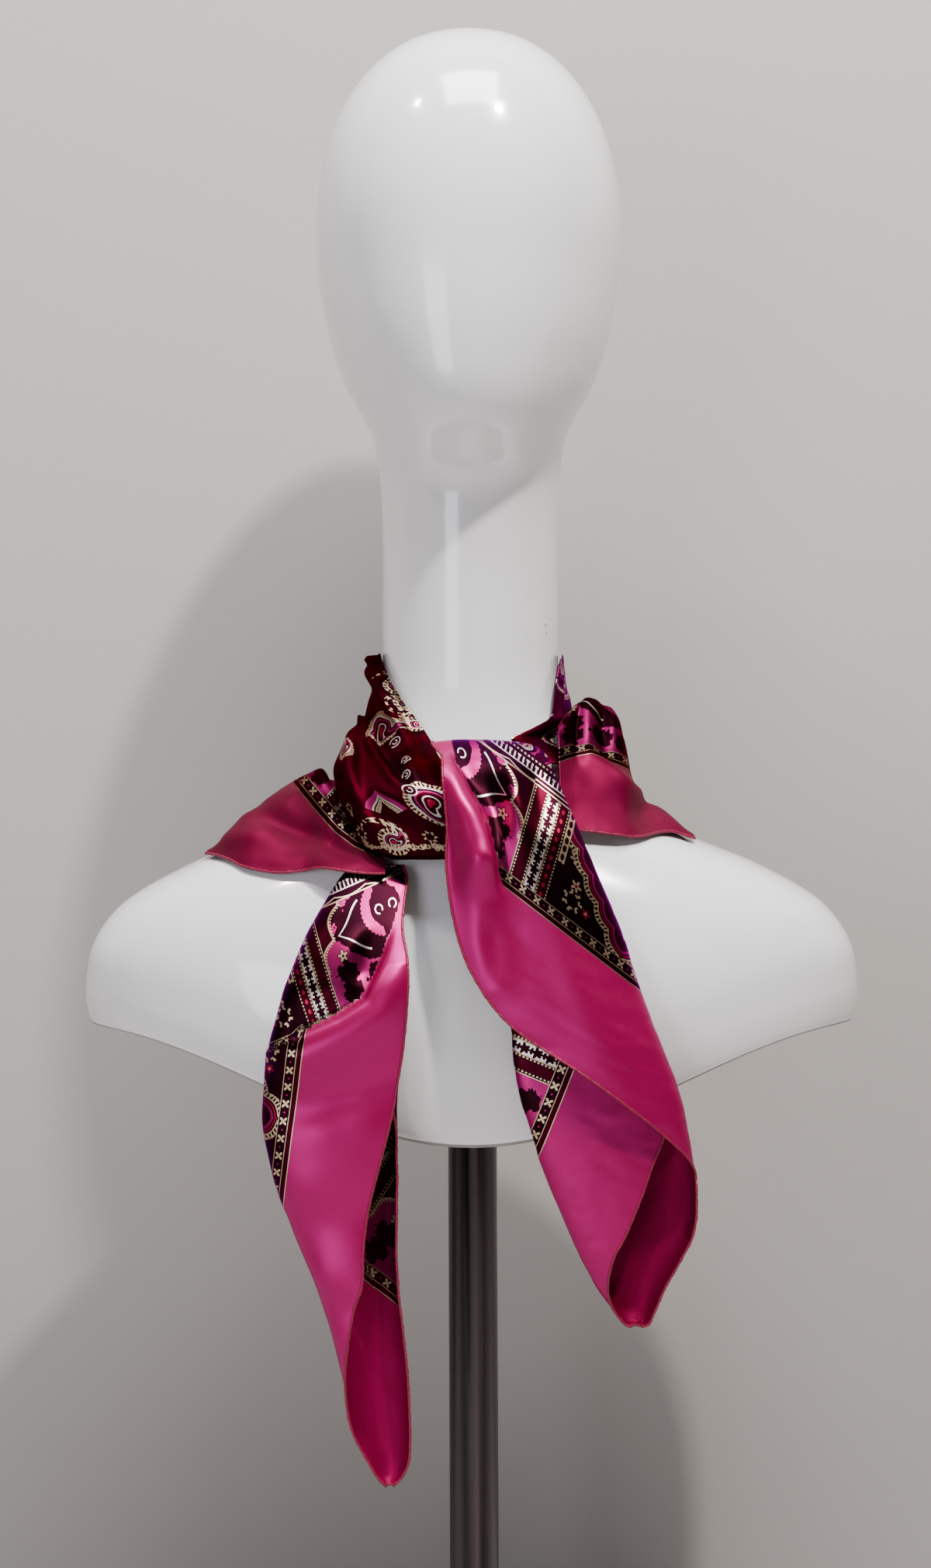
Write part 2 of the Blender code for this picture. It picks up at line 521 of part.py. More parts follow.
def main():
    clear_scene()
    group = new_collection("satin_scarf_on_bust")
    steel = finish("brushed_steel", (0.06, 0.06, 0.065), 0.35, metallic=1.0)
    gloss = finish("bust_gloss_white", (0.76, 0.78, 0.80), 0.12, coat=0.6)
    stand_base(group, steel)
    stand_pole(group, steel)
    satin = finish("printed_satin", (0.42, 0.03, 0.13), 0.35, sheen=0.3)
    bust(group, gloss)
    scarf(group, satin)


main()
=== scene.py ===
import math
from functools import partialmethod

import bpy
import numpy as np
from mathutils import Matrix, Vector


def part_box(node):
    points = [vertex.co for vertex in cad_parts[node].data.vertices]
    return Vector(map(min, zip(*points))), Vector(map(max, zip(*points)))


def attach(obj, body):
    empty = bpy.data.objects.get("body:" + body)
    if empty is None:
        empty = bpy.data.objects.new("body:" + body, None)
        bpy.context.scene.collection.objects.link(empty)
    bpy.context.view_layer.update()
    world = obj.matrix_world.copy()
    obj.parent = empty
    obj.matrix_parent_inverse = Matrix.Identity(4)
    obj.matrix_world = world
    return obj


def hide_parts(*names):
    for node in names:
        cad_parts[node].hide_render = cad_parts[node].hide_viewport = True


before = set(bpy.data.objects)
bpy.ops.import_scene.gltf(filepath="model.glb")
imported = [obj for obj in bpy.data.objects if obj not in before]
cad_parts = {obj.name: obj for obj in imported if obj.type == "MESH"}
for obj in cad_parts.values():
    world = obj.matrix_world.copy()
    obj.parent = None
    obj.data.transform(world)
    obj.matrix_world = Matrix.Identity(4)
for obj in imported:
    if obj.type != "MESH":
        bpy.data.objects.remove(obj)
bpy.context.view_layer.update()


# ---------------------------------------------------------------- camera and light
# A level camera straight in front of the bust, as in the photograph: the picture is 1200 by 2020, and
# 0.405 mm of the plane through the pole shows as one pixel. A small lamp hangs high on the right and a
# weaker one on the left, with a soft skylight above, a window low on the left and a fill behind the bust.
CAMERA_PLACE = (-0.0028, -1.35, 0.51)
CAMERA_ROLL = 0.0045
METRES_PER_PIXEL = 0.000405
PICTURE_HEIGHT = 2020
SENSOR = 36.0

camera_data = bpy.data.cameras.new("camera")
camera_data.sensor_width = SENSOR
camera_data.lens = SENSOR * -CAMERA_PLACE[1] / (METRES_PER_PIXEL * PICTURE_HEIGHT)
camera = bpy.data.objects.new("camera", camera_data)
camera.location = CAMERA_PLACE
camera.rotation_euler = (math.pi / 2, CAMERA_ROLL, 0)
bpy.context.scene.collection.objects.link(camera)
bpy.context.scene.camera = camera


def area_light(name, place, aim, size, watts, color):
    data = bpy.data.lights.new(name, "AREA")
    data.shape = "RECTANGLE"
    data.size, data.size_y = size
    data.energy = watts
    data.color = color
    lamp = bpy.data.objects.new(name, data)
    lamp.location = place
    run = np.array(aim, float) - np.array(place, float)
    flat = math.hypot(run[0], run[1])
    lamp.rotation_euler = (math.atan2(flat, -run[2]), 0, math.atan2(run[1], run[0]) - math.pi / 2)
    bpy.context.scene.collection.objects.link(lamp)
    return lamp


area_light("shop spot", (0.52, -0.89, 2.17), (0.0, 0.0, 0.52), (0.09, 0.09), 56.0, (1.0, 0.95, 0.90))
area_light("second spot", (-0.75, -0.50, 2.05), (0.0, 0.0, 0.52), (0.10, 0.10), 9.0, (1.0, 0.90, 0.80))
area_light("skylight", (0.05, -0.55, 2.30), (0.0, -0.02, 0.52), (0.80, 0.70), 56.0, (0.87, 0.93, 1.0))
area_light("shop window", (-0.95, -1.85, 0.45), (0.0, -0.1, 0.36), (0.70, 1.10), 17.0, (0.86, 0.87, 1.0))
area_light("back fill", (-0.50, 1.90, 1.70), (0.0, 0.0, 0.52), (0.90, 0.90), 26.0, (1.0, 0.97, 0.94))


def srgb(red, green, blue):
    """A colour given as 0 to 255, as Blender's linear colour."""
    shares = [level / 255 for level in (red, green, blue)]
    return [s / 12.92 if s <= 0.04045 else ((s + 0.055) / 1.055) ** 2.4 for s in shares]


world = bpy.data.worlds.new("room")
world.use_nodes = True
world.node_tree.nodes["Background"].inputs["Color"].default_value = (*srgb(222, 220, 218), 1.0)
world.node_tree.nodes["Background"].inputs["Strength"].default_value = 0.09
bpy.context.scene.world = world


# Shader values. A Wire is one output of a node tree, and sums, products and comparisons of wires add
# Math nodes, so that a pattern is written as the formula it is. A comparison gives 1 or 0, a mask.
class Wire:
    def __init__(self, tree, socket):
        self.tree = tree
        self.socket = socket

    def math(self, operation, *others):
        node = self.tree.nodes.new("ShaderNodeMath")
        node.operation = operation
        for entry, value in zip(node.inputs, (self, *others)):
            plug(entry, value)
        return Wire(self.tree, node.outputs[0])

    __add__ = partialmethod(math, "ADD")
    __sub__ = partialmethod(math, "SUBTRACT")
    __mul__ = __and__ = partialmethod(math, "MULTIPLY")
    __truediv__ = partialmethod(math, "DIVIDE")
    __lt__ = partialmethod(math, "LESS_THAN")
    __gt__ = partialmethod(math, "GREATER_THAN")
    __or__ = partialmethod(math, "MAXIMUM")
    __abs__ = partialmethod(math, "ABSOLUTE")

    def between(self, low, high):
        return (self > low) & (self < high)


def plug(entry, value):
    """Sets a node's input: a Wire is linked to it, and a number or colour is set on the input itself."""
    if isinstance(value, Wire):
        value.tree.links.new(value.socket, entry)
    else:
        entry.default_value = value


def new_material(name):
    """A material's tree with its Principled shader."""
    made = bpy.data.materials.new(name)
    made.use_nodes = True
    return made, made.node_tree, made.node_tree.nodes["Principled BSDF"]


def dress(node, entries):
    """Sets several inputs of a node, by their names."""
    for name, value in entries.items():
        plug(node.inputs[name], value)


def new_wire(tree, kind, output, entries):
    """One output of a new node, whose inputs are set by their names."""
    node = tree.nodes.new("ShaderNode" + kind)
    dress(node, entries)
    return Wire(tree, node.outputs[output])


def split_wire(vector):
    """The x, y and z of a vector."""
    node = vector.tree.nodes.new("ShaderNodeSeparateXYZ")
    plug(node.inputs[0], vector)
    return [Wire(vector.tree, output) for output in node.outputs]


def color_wire(tree, color):
    node = tree.nodes.new("ShaderNodeRGB")
    node.outputs[0].default_value = (*color, 1.0)
    return Wire(tree, node.outputs[0])


def paint(below, mask, color):
    """A colour over another, where the mask is 1."""
    node = below.tree.nodes.new("ShaderNodeMix")
    node.data_type = "RGBA"
    dress(node, {"Factor": mask, "A": below, "B": color if isinstance(color, Wire) else (*color, 1.0)})
    return Wire(below.tree, node.outputs["Result"])


def layers(below, *painted, within=None):
    """Colours painted in turn over another, each where its own mask and the shared one are 1."""
    for mask, color in painted:
        below = paint(below, mask if within is None else within & mask, color)
    return below


def noise_wire(tree, vector, scale, detail=2.0):
    return new_wire(tree, "TexNoise", "Fac", {"Scale": scale, "Detail": detail, "Vector": vector})


def place_wire(tree):
    return new_wire(tree, "NewGeometry", "Position", {})


def bump(tree, shader, height, distance, strength=1.0):
    entries = {"Strength": strength, "Distance": distance, "Height": height}
    plug(shader.inputs["Normal"], new_wire(tree, "Bump", "Normal", entries))


def add_object(name, points, faces, *materials):
    """A smooth mesh object in the scene."""
    mesh = bpy.data.meshes.new(name)
    mesh.from_pydata(points, [], faces)
    for material in materials:
        mesh.materials.append(material)
    mesh.shade_smooth()
    added = bpy.data.objects.new(name, mesh)
    bpy.context.scene.collection.objects.link(added)
    return added


# ---------------------------------------------------------------- wall and floor
# A pale painted wall behind the bust and a pale floor. They are the stage and not part of the object.
# The wall has only a front, so that the object is seen from behind it too.
WALL_Y = 0.20
STAGE_SIZE = 6.0
# Painted shade: the wall is darker below a height, and darkest about 0.38 m lower.
PAINTED_SHADE_TOP = 0.5
PAINTED_SHADE_PER_METRE = 2.6


def stage_plane(name, place, rotation, color):
    made, tree, shader = new_material(name)
    where = place_wire(tree)
    shade = paint(color_wire(tree, color), noise_wire(tree, where, 3.0, 4.0), [c * 0.95 for c in color])
    # Painted shade: the wall and the floor are darker lower down.
    low = (split_wire(where)[2] - PAINTED_SHADE_TOP) * -PAINTED_SHADE_PER_METRE
    shade = paint(shade, low, [c * 0.80 for c in color])
    dress(shader, {"Base Color": shade, "Roughness": 0.9})
    bump(tree, shader, noise_wire(tree, where, 220.0), 0.0004, 0.3)
    one_sided = tree.nodes.new("ShaderNodeMixShader")
    clear = tree.nodes.new("ShaderNodeBsdfTransparent")
    backfacing = new_wire(tree, "NewGeometry", "Backfacing", {})
    for entry, output in zip(one_sided.inputs, (backfacing.socket, shader.outputs[0], clear.outputs[0])):
        tree.links.new(output, entry)
    tree.links.new(one_sided.outputs[0], tree.nodes["Material Output"].inputs["Surface"])
    half = STAGE_SIZE / 2
    corners = [(-half, -half, 0), (half, -half, 0), (half, half, 0), (-half, half, 0)]
    plane = add_object(name, corners, [(0, 1, 2, 3)], made)
    plane.location = place
    plane.rotation_euler = rotation


stage_plane("wall", (0, WALL_Y, 0.0), (math.pi / 2, 0, 0), srgb(168, 162, 157))
stage_plane("floor", (0, WALL_Y - STAGE_SIZE / 2, 0.0), (0, 0, 0), srgb(214, 210, 205))


# ---------------------------------------------------------------- stand
# A dark satin steel tube on a round plate. Both were turned and brushed, so their grain runs round them.
POLE_RADIUS = 0.01275
PLATE_EDGE = 0.0015
SHARP_ANGLE = 40


def stretched_noise(tree, scale, detail):
    """Noise stretched along the axes of the object."""
    node = tree.nodes.new("ShaderNodeMapping")
    dress(node, {"Scale": scale, "Vector": new_wire(tree, "TexCoord", "Object", {})})
    return noise_wire(tree, Wire(tree, node.outputs["Vector"]), 1.0, detail)


def brushed_steel(name, color, roughness, stretch):
    """Dark steel whose fine grain is stretched along one of its axes."""
    made, tree, shader = new_material(name)
    grain = stretched_noise(tree, stretch, 3.0)
    streaks = stretched_noise(tree, [s * 0.16 for s in stretch], 2.0)
    streaks = ((streaks - 0.36).math("MAXIMUM", 0.0) * 3.2).math("MINIMUM", 1.0)
    shade = paint(color_wire(tree, color), grain, [c * 1.5 for c in color])
    shade = paint(shade, streaks, [c * 5.0 for c in color])
    dress(shader, {"Base Color": shade, "Metallic": 0.9, "Roughness": grain * 0.16 + roughness})
    bump(tree, shader, grain, 0.00003, 0.4)
    return made


def tube_faces(first, rings, sides, closed=False):
    """The faces of a tube of rings of points, from its first point's number."""
    faces = []
    for ring in range(rings if closed else rings - 1):
        here, there = first + sides * ring, first + sides * ((ring + 1) % rings)
        for s in range(sides):
            t = (s + 1) % sides
            faces.append((here + s, here + t, there + t, there + s))
    return faces


def turned(name, profile, segments, material):
    """A solid turned from (radius, z) points, from the bottom of its axis round to the top of it."""
    turns = np.arange(segments) * 2 * math.pi / segments
    points = [(0, 0, profile[0][1])]
    for radius, z in profile[1:-1]:
        points += [(radius * math.cos(t), radius * math.sin(t), z) for t in turns]
    points.append((0, 0, profile[-1][1]))
    last = len(points) - 1
    faces = tube_faces(1, len(profile) - 2, segments)
    for i in range(segments):
        j = (i + 1) % segments
        faces += [(0, 1 + j, 1 + i), (last - segments + i, last - segments + j, last)]
    piece = add_object(name, points, faces, material)
    piece.data.set_sharp_from_angle(angle=math.radians(SHARP_ANGLE))
    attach(piece, "root")
    return piece


pole_low, pole_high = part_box("stand_pole")
pole_steel = brushed_steel("dark_steel_tube", srgb(33, 29, 29), 0.20, (900.0, 900.0, 6.0))
pole = turned("pole", [(0, pole_low[2]), (POLE_RADIUS, pole_low[2]), (POLE_RADIUS, pole_high[2]),
                       (0, pole_high[2])], 96, pole_steel)
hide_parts("stand_pole")

plate_low, plate_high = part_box("stand_base")
plate_radius = plate_high[0]
plate_profile = [(0, plate_low[2]), (plate_radius - PLATE_EDGE, plate_low[2])]
edge_turns = [math.pi / 2 * step / 4 for step in range(5)]
for turn in edge_turns:
    plate_profile.append((plate_radius - PLATE_EDGE * (1 - math.sin(turn)),
                          plate_low[2] + PLATE_EDGE * (1 - math.cos(turn))))
for turn in edge_turns:
    plate_profile.append((plate_radius - PLATE_EDGE * (1 - math.cos(turn)),
                          plate_high[2] - PLATE_EDGE * (1 - math.sin(turn))))
plate_profile.append((0, plate_high[2]))
plate_steel = brushed_steel("dark_steel_plate", srgb(50, 48, 48), 0.26, (40.0, 900.0, 900.0))
plate = turned("base_plate", plate_profile, 160, plate_steel)
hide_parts("stand_base")


# ---------------------------------------------------------------- bust
# Head, neck and shoulders in one moulding, sprayed white and lacquered. It repeats the levels of the CAD
# solid with more rings and points. Its underside and the thin edge round it are bare grey.
HEAD_WIDEST_Z = 0.795
HEAD_HALF_WIDTH = 0.0805
HEAD_DOME_HEIGHT = 0.1074
HEAD_FRONT = 0.1010
HEAD_BACK = 0.0970
HEAD_CENTRE_Y = 0.0040
HEAD_POWER = 2.15
DOME_RINGS = 6
BUST_STEPS = 6
BUST_POINTS = 192
EDGE_LEVEL = 22
HEAD_RINGS = 60
HEAD_SMOOTHINGS = 24
CROWN_STEPS = (0.15, 0.35, 0.6, 0.8)
SOCKET_Z = 0.352
SOCKET_DEPTH = 0.020
SOCKET_LIP_RADIUS = 0.030
SOCKET_CLEARANCE = 0.0004


def metres(rows, lengths=None):
    """A table written in millimetres, in metres. With a count, only its first columns are lengths."""
    rows = np.array(rows, float)
    rows[:, :lengths] /= 1000
    return rows


# side_z, front_z, back_z, half_width, front_y, back_y, squareness
BUST_LEVELS = metres((
    (774.6, 774.6, 774.6, 78.8, -96.5, 99.5, 2.1),
    (752.7, 752.7, 752.7, 75.5, -96, 95, 2.1),
    (733.6, 733.6, 733.6, 70.7, -94.5, 88, 2.1),
    (716.5, 716.5, 716.5, 64.4, -92, 80, 2.05),
    (701.1, 701.1, 701.1, 56, -87.5, 72, 2.05),
    (689.4, 689.4, 689.4, 50.3, -80, 67, 2),
    (679.3, 679.3, 679.3, 48.2, -68, 64, 2),
    (667.2, 667.2, 667.2, 47, -54.5, 62.2, 2),
    (653, 653, 653, 46.3, -49.2, 61.5, 2),
    (625, 625, 625, 46, -48, 61.5, 2),
    (590, 590, 590, 46, -48, 62, 2),
    (565, 560, 572, 46.5, -48.5, 63.5, 2),
    (545, 536, 555, 50.5, -52.5, 69, 2),
    (521.5, 512, 535, 62, -61, 77.5, 2.05),
    (500, 485, 512, 83, -74, 87, 2.1),
    (483.5, 456, 486, 112, -86.5, 94, 2.15),
    (468.5, 428, 458, 148, -96, 99, 2.2),
    (450, 400, 430, 180, -101, 101, 2.25),
    (429, 376, 404, 196, -101.5, 99.5, 2.3),
    (407, 356, 382, 200, -99, 96, 2.3),
    (394, 341, 366, 199, -95.5, 92, 2.3),
    (388.5, 334.5, 358, 196.5, -92.5, 89, 2.3),
    (387, 333, 356.5, 192, -88.5, 85, 2.3),
    (380, 338, 357, 155, -72, 69, 2.2),
    (362, 350, 356, 80, -45, 44, 2.1),
), 6)


def smooth_rows(rows, steps):
    """The rows of a table with steps - 1 more between each pair, on a Catmull-Rom curve."""
    rows = np.array(rows, float)
    knots = np.vstack([2 * rows[0] - rows[1], rows, 2 * rows[-1] - rows[-2]])
    out = []
    for a, b, c, d in zip(knots, knots[1:], knots[2:], knots[3:]):
        for t in np.arange(steps) / steps:
            square, cube = t * t, t ** 3
            bend = (2 * a - 5 * b + 4 * c - d) * square
            out.append(0.5 * (2 * b + (c - a) * t + bend + (3 * b - a - 3 * c + d) * cube))
    out.append(rows[-1])
    return np.array(out)


def cape_point(level, turn):
    """A point of one level of the bust, whose height changes from its sides to its front and back."""
    side_z, front_z, back_z, half_width, front_y, back_y, squareness = level
    c, s = math.cos(turn), math.sin(turn)
    x = math.copysign(abs(c) ** (2 / squareness), c)
    y = math.copysign(abs(s) ** (2 / squareness), s)
    middle_z = back_z if s > 0 else front_z
    z = middle_z + (side_z - middle_z) * (1 - math.cos(math.pi * abs(x))) / 2
    return half_width * x, (front_y + back_y) / 2 + (back_y - front_y) / 2 * y, z


def dome_level(step):
    """A level of the head's dome, in steps from the crown down to its widest level."""
    turn = math.pi / 2 * (1 - step / DOME_RINGS)
    up = math.sin(turn) ** (2 / HEAD_POWER)
    out = math.cos(turn) ** (2 / HEAD_POWER)
    z = HEAD_WIDEST_Z + HEAD_DOME_HEIGHT * up
    return (z, z, z, HEAD_HALF_WIDTH * out, HEAD_CENTRE_Y - HEAD_FRONT * out,
            HEAD_CENTRE_Y + HEAD_BACK * out, HEAD_POWER)


def lacquered_white():
    """White lacquer: a slight orange peel, faint yellowing in patches and a few rubbed marks."""
    made, tree, shader = new_material("white_lacquer")
    place = place_wire(tree)
    patches = noise_wire(tree, place, 9.0, 3.0)
    shade = paint(color_wire(tree, srgb(231, 230, 231)), patches, srgb(223, 221, 221))
    across, deep, up = split_wire(place)
    streaks = (deep < 0.0) & (noise_wire(tree, place, 520.0) > 0.60)
    for x, z, width, height in SCUFFS:
        off_x, off_z = (across - x) / width, (up - z) / height
        shade = paint(shade, (off_x * off_x + off_z * off_z < 1.0) & streaks, BARE_GREY)
    dress(shader, {"Base Color": shade, "Roughness": patches * 0.10 + 0.14, "Coat Weight": 0.6,
                   "Coat Roughness": 0.05})
    bump(tree, shader, noise_wire(tree, place, 120.0, 1.0), 0.00012, 0.25)
    return made


def bare_edge():
    made, tree, shader = new_material("bare_grey_edge")
    patches = noise_wire(tree, place_wire(tree), 60.0)
    shade = paint(color_wire(tree, BARE_GREY), patches, srgb(120, 116, 112))
    dress(shader, {"Base Color": shade, "Roughness": 0.6})
    return made


BARE_GREY = srgb(150, 146, 142)
# Rubbed marks on the lacquer: x, z, half width, half height
SCUFFS = metres((
    (60, 760, 3, 1.2),
    (39.5, 592, 2.2, 6),
    (66, 721, 1.6, 3),
    (-56, 705, 1.4, 2.4),
))


def make_bust():
    dome = [dome_level(step) for step in range(1, DOME_RINGS + 1)]
    levels = [dome_level(step) for step in CROWN_STEPS]
    levels += list(smooth_rows(dome + list(BUST_LEVELS), BUST_STEPS))
    turns = np.arange(BUST_POINTS) * 2 * math.pi / BUST_POINTS
    rings = [[cape_point(level, turn) for turn in turns] for level in levels]
    head = np.array(rings[:HEAD_RINGS])
    for _ in range(HEAD_SMOOTHINGS):
        head[1:-1] = (head[:-2] + 2 * head[1:-1] + head[2:]) / 4
    rings[:HEAD_RINGS] = head.tolist()
    bore = POLE_RADIUS + SOCKET_CLEARANCE
    for radius, z in ((SOCKET_LIP_RADIUS, SOCKET_Z), (bore, SOCKET_Z), (bore, SOCKET_Z + SOCKET_DEPTH)):
        rings.append([(radius * math.cos(t), radius * math.sin(t), z) for t in turns])
    points = [p for ring in rings for p in ring]
    crown, roof = len(points), len(points) + 1
    points.append((0, HEAD_CENTRE_Y, HEAD_WIDEST_Z + HEAD_DOME_HEIGHT))
    points.append((0, 0, SOCKET_Z + SOCKET_DEPTH))
    last = (len(rings) - 1) * BUST_POINTS
    sides = [(i, (i + 1) % BUST_POINTS) for i in range(BUST_POINTS)]
    faces = []
    for a in range(0, last, BUST_POINTS):
        b = a + BUST_POINTS
        faces += [(a + j, a + i, b + i, b + j) for i, j in sides]
    for i, j in sides:
        faces += [(crown, i, j), (last + j, last + i, roof)]
    piece = add_object("bust_moulding", points, faces, lacquered_white(), bare_edge())
    edge_ring = len(CROWN_STEPS) + (DOME_RINGS + EDGE_LEVEL - 1) * BUST_STEPS
    for face in piece.data.polygons[edge_ring * BUST_POINTS:]:
        if face.vertices[0] != crown:
            face.material_index = 1
    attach(piece, "root")
    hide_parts("bust")


make_bust()


# ---------------------------------------------------------------- the print
# Satin dyed and printed on one side. The UV map "cloth" holds each point's place on the flat square, in
# metres: how far it is from the nearest hem, and how far along that hem from the corner. So one pattern
# prints every piece. From the hem inwards: a plain magenta border, a narrow band of four-petal stars, a
# pink corner block with a paisley and blossoms, striped bands round a plum panel, and a burgundy middle.
# All sizes here are in millimetres.
BORDER = 50.0
CHAIN_WIDTH = 8.5
STAR_PITCH = 8.4
CORNER_BLOCK = 205.0
BAND_WIDTH = 26.0
PANEL_DEPTH = 110.0
CROSS_BAND = 13.5
BLOCK_REPEAT = 90.0
PANEL_REPEAT = 82.0
PAISLEY_CELL = 58.0
PAISLEY_HEIGHT = PAISLEY_CELL * 0.86

MAGENTA = srgb(152, 6, 68)
BURGUNDY = srgb(52, 2, 13)
PLUM = srgb(31, 6, 14)
MAROON = srgb(52, 5, 18)
CREAM = srgb(200, 174, 140)
WHITE = srgb(208, 196, 188)
BLOSSOM_PINK = srgb(150, 30, 92)
ROSE = srgb(160, 24, 58)
REVERSE = srgb(96, 5, 32)


def repeat(value, pitch):
    """Where a value is in its repeat, from minus half a pitch to plus half."""
    return (value / pitch).math("FRACT") * pitch - pitch / 2


def mirrored(value, start, pitch):
    """A value folded back and forth between start and half a pitch beyond it."""
    return abs(repeat(value - start, pitch)) * -1.0 + (start + pitch / 2)


def polar(u, v):
    radius = (u * u + v * v).math("SQRT")
    return radius, v.math("ARCTAN2", u)


def petals(u, v, count, size, depth):
    """A flower's mask: a disc whose edge swells to each petal."""
    radius, turn = polar(u, v)
    return radius < ((turn * float(count)).math("COSINE") * depth + 1.0) * size


def dashes(value, pitch, share=0.5):
    return repeat(value, pitch) < pitch * (share - 0.5)


def comb(away, run, reach, pitch=1.9):
    """Short strokes standing on a thin line, such as engraved coral has."""
    strokes = (abs(repeat(run, pitch)) < 0.42) & away.between(0.0, reach)
    tips = (abs(repeat(run + pitch / 2, pitch * 2)) < 0.95) & away.between(reach - 0.9, reach)
    return strokes | tips | (abs(away - 0.3) < 0.3)


def drop(u, v, size, swirl):
    """How far out a place is in a paisley drop, 1 on its outline, and the turn there."""
    radius, turn = polar(u, v)
    curled = (radius / size) * swirl + turn
    curled = (curled.math("COSINE")).math("ARCCOSINE")
    tail = ((curled * curled) * -5.5).math("EXPONENT") * 1.25 + 1.0
    return (radius / size) / tail, turn


def paint_paisley(shade, u, v, size, swirl):
    """A paisley: coral fringe, white outline, pink line, dark red fill and a white curl."""
    out, turn = drop(u, v, size, swirl)
    teeth = (turn * (size * 3.4)).math("SINE") * 0.035
    return layers(
        shade,
        (comb((out - 1.08) * size, turn * (size * 1.25), 3.0, 2.1), CREAM),
        (out < 1.06, WHITE),
        (out < 0.98, PLUM),
        (out < 0.84, BLOSSOM_PINK),
        (out + teeth < 0.72, BURGUNDY),
        (abs(out - 0.42) < 0.045, WHITE),
        (out < 0.20, ROSE),
    )


def paint_sprig(shade, u, v, size):
    """A small open wreath with a five-petal spray above it."""
    radius, turn = polar(u, v)
    wreath = (abs(radius - size) < size * 0.13) & ((turn * 7.0).math("SINE") > -0.25)
    thorns = radius.between(size * 1.1, size * 1.5) & ((turn * 7.0 + 1.2).math("SINE") > 0.62)
    high = v - size * 2.1
    return layers(
        shade,
        (wreath | thorns, CREAM),
        (petals(u, high, 5, size * 0.55, 0.5), CREAM),
        (u * u + high * high < size * size * 0.05, ROSE),
    )


def chain_band(shade, hem, along):
    """A plain plum stripe and a row of four-petal stars, with a cream line beside each."""
    u, v = repeat(along, STAR_PITCH), hem - (BORDER + 5.75)
    radius, turn = polar(u, v)
    star = abs((turn * 2.0).math("SINE")).math("POWER", 1.4) * 2.35
    gap = repeat(along + STAR_PITCH / 2, STAR_PITCH)
    return layers(
        shade,
        (hem.between(BORDER, BORDER + CHAIN_WIDTH), PLUM),
        (hem.between(BORDER + 0.7, BORDER + 2.9), MAROON),
        (abs(hem - (BORDER + 0.3)) < 0.22, CREAM),
        (abs(hem - (BORDER + 3.2)) < 0.15, CREAM),
        (abs(hem - (BORDER + CHAIN_WIDTH - 0.25)) < 0.15, CREAM),
        (radius < star, CREAM),
        (abs(gap) + abs(v) < 0.55, BLOSSOM_PINK),
    )


def striped_band(shade, inside, hem, along):
    """The band between the corner block and the panel, counted in stripes from the block."""
    across = along - CORNER_BLOCK
    band = inside & across.between(0.0, BAND_WIDTH)

    def ovals(pitch, row, narrowness, size):
        u, v = repeat(hem, pitch), across - row
        return u * u * narrowness + v * v < size

    stripes = (abs(across - 0.25) < 0.22) | (abs(across - 8.8) < 0.18) | (abs(across - 14.9) < 0.18)
    ribbon, over = across.between(9.2, 14.5), across - 11.9
    edge = across.between(22.2, 25.8) & (hem > 82.0)
    return layers(
        paint(shade, band, PLUM),
        (across.between(2.2, 7.2) | across.between(16.4, 20.6), MAROON),
        *(((abs(across - row) < 0.34) & dashes(hem, 1.9), CREAM) for row in (1.4, 7.9, 15.8, 21.3)),
        (stripes, CREAM),
        (ovals(5.2, 18.5, 0.45, 0.75), ROSE),
        (ribbon, WHITE),
        (ribbon & petals(repeat(hem, 6.6), over, 5, 2.3, 0.30), PLUM),
        (ribbon & petals(repeat(hem + 3.3, 6.6), over, 3, 1.25, 0.55), PLUM),
        (edge, CREAM),
        (edge & ovals(4.6, 24.0, 0.35, 1.3), MAROON),
        within=band,
    )


def corner_block(shade, inside, hem, along, lumps):
    """Pink ground with plum blossoms, and a paisley with a white outline and a toothed crescent."""
    block = inside & (along < CORNER_BLOCK)
    over = mirrored(along * -1.0 + CORNER_BLOCK, 0.0, BLOCK_REPEAT) * -1.0 + CORNER_BLOCK
    radius, turn = polar(over - 170.0, hem - 94.0)
    reach = (abs(turn) * -4.6).math("EXPONENT") * 8.5 + 14.0
    outer, outer_turn = polar(hem - 98.0, over - 161.5)
    teeth = (outer_turn * 38.0).math("SINE") * 0.35
    inner = polar(hem - 98.5, over - 158.0)[0]
    ring, ring_turn = polar(hem - 98.0, over - 164.5)
    u, v = hem - 84.0, over - 193.5
    shade = layers(
        paint(shade, block, BLOSSOM_PINK),
        *((polar(hem - x, over - y)[0] + lumps * 7.0 < size, PLUM) for x, y, size in BLOSSOMS),
        (radius + lumps * 5.0 < reach + 5.0, PLUM),
        ((abs(radius - reach) < 0.5) & (abs(turn) < 1.15), WHITE),
        ((outer + teeth < 14.2) & (inner + lumps * 3.0 > 11.8) & (over > 165.0), BLOSSOM_PINK),
        (ring.between(1.9, 2.6) & (ring_turn > -2.2), WHITE),
        (petals(u, v, 5, 2.9, 0.25), PLUM),
        (petals(u, v, 5, 2.2, 0.4), CREAM),
        (u * u + v * v < 0.6, MAROON),
        within=block,
    )
    up, past = hem - 78.0, over - CORNER_BLOCK
    run = up * 0.883 - past * 0.469
    away = up * 0.469 + past * 0.883 - abs((run * (math.pi / 17.5)).math("SINE")) * 4.6
    return layers(
        shade,
        (away > 0.0, MAROON),
        (abs(away + 0.4) < 0.42, CREAM),
        (away.between(-2.1, -0.9) & dashes(run, 1.5), CREAM),
        within=block & (up > 0.0),
    )


# Plum blossoms in the corner block: from the hem, along it, radius
BLOSSOMS = (
    (75.5, 193.5, 6.0),
    (65.5, 194.0, 6.2),
    (104.5, 191.0, 5.4),
    (68.0, 177.0, 6.2),
    (107.0, 172.0, 6.4),
    (65.0, 163.0, 6.2),
    (82.0, 164.0, 4.6),
)


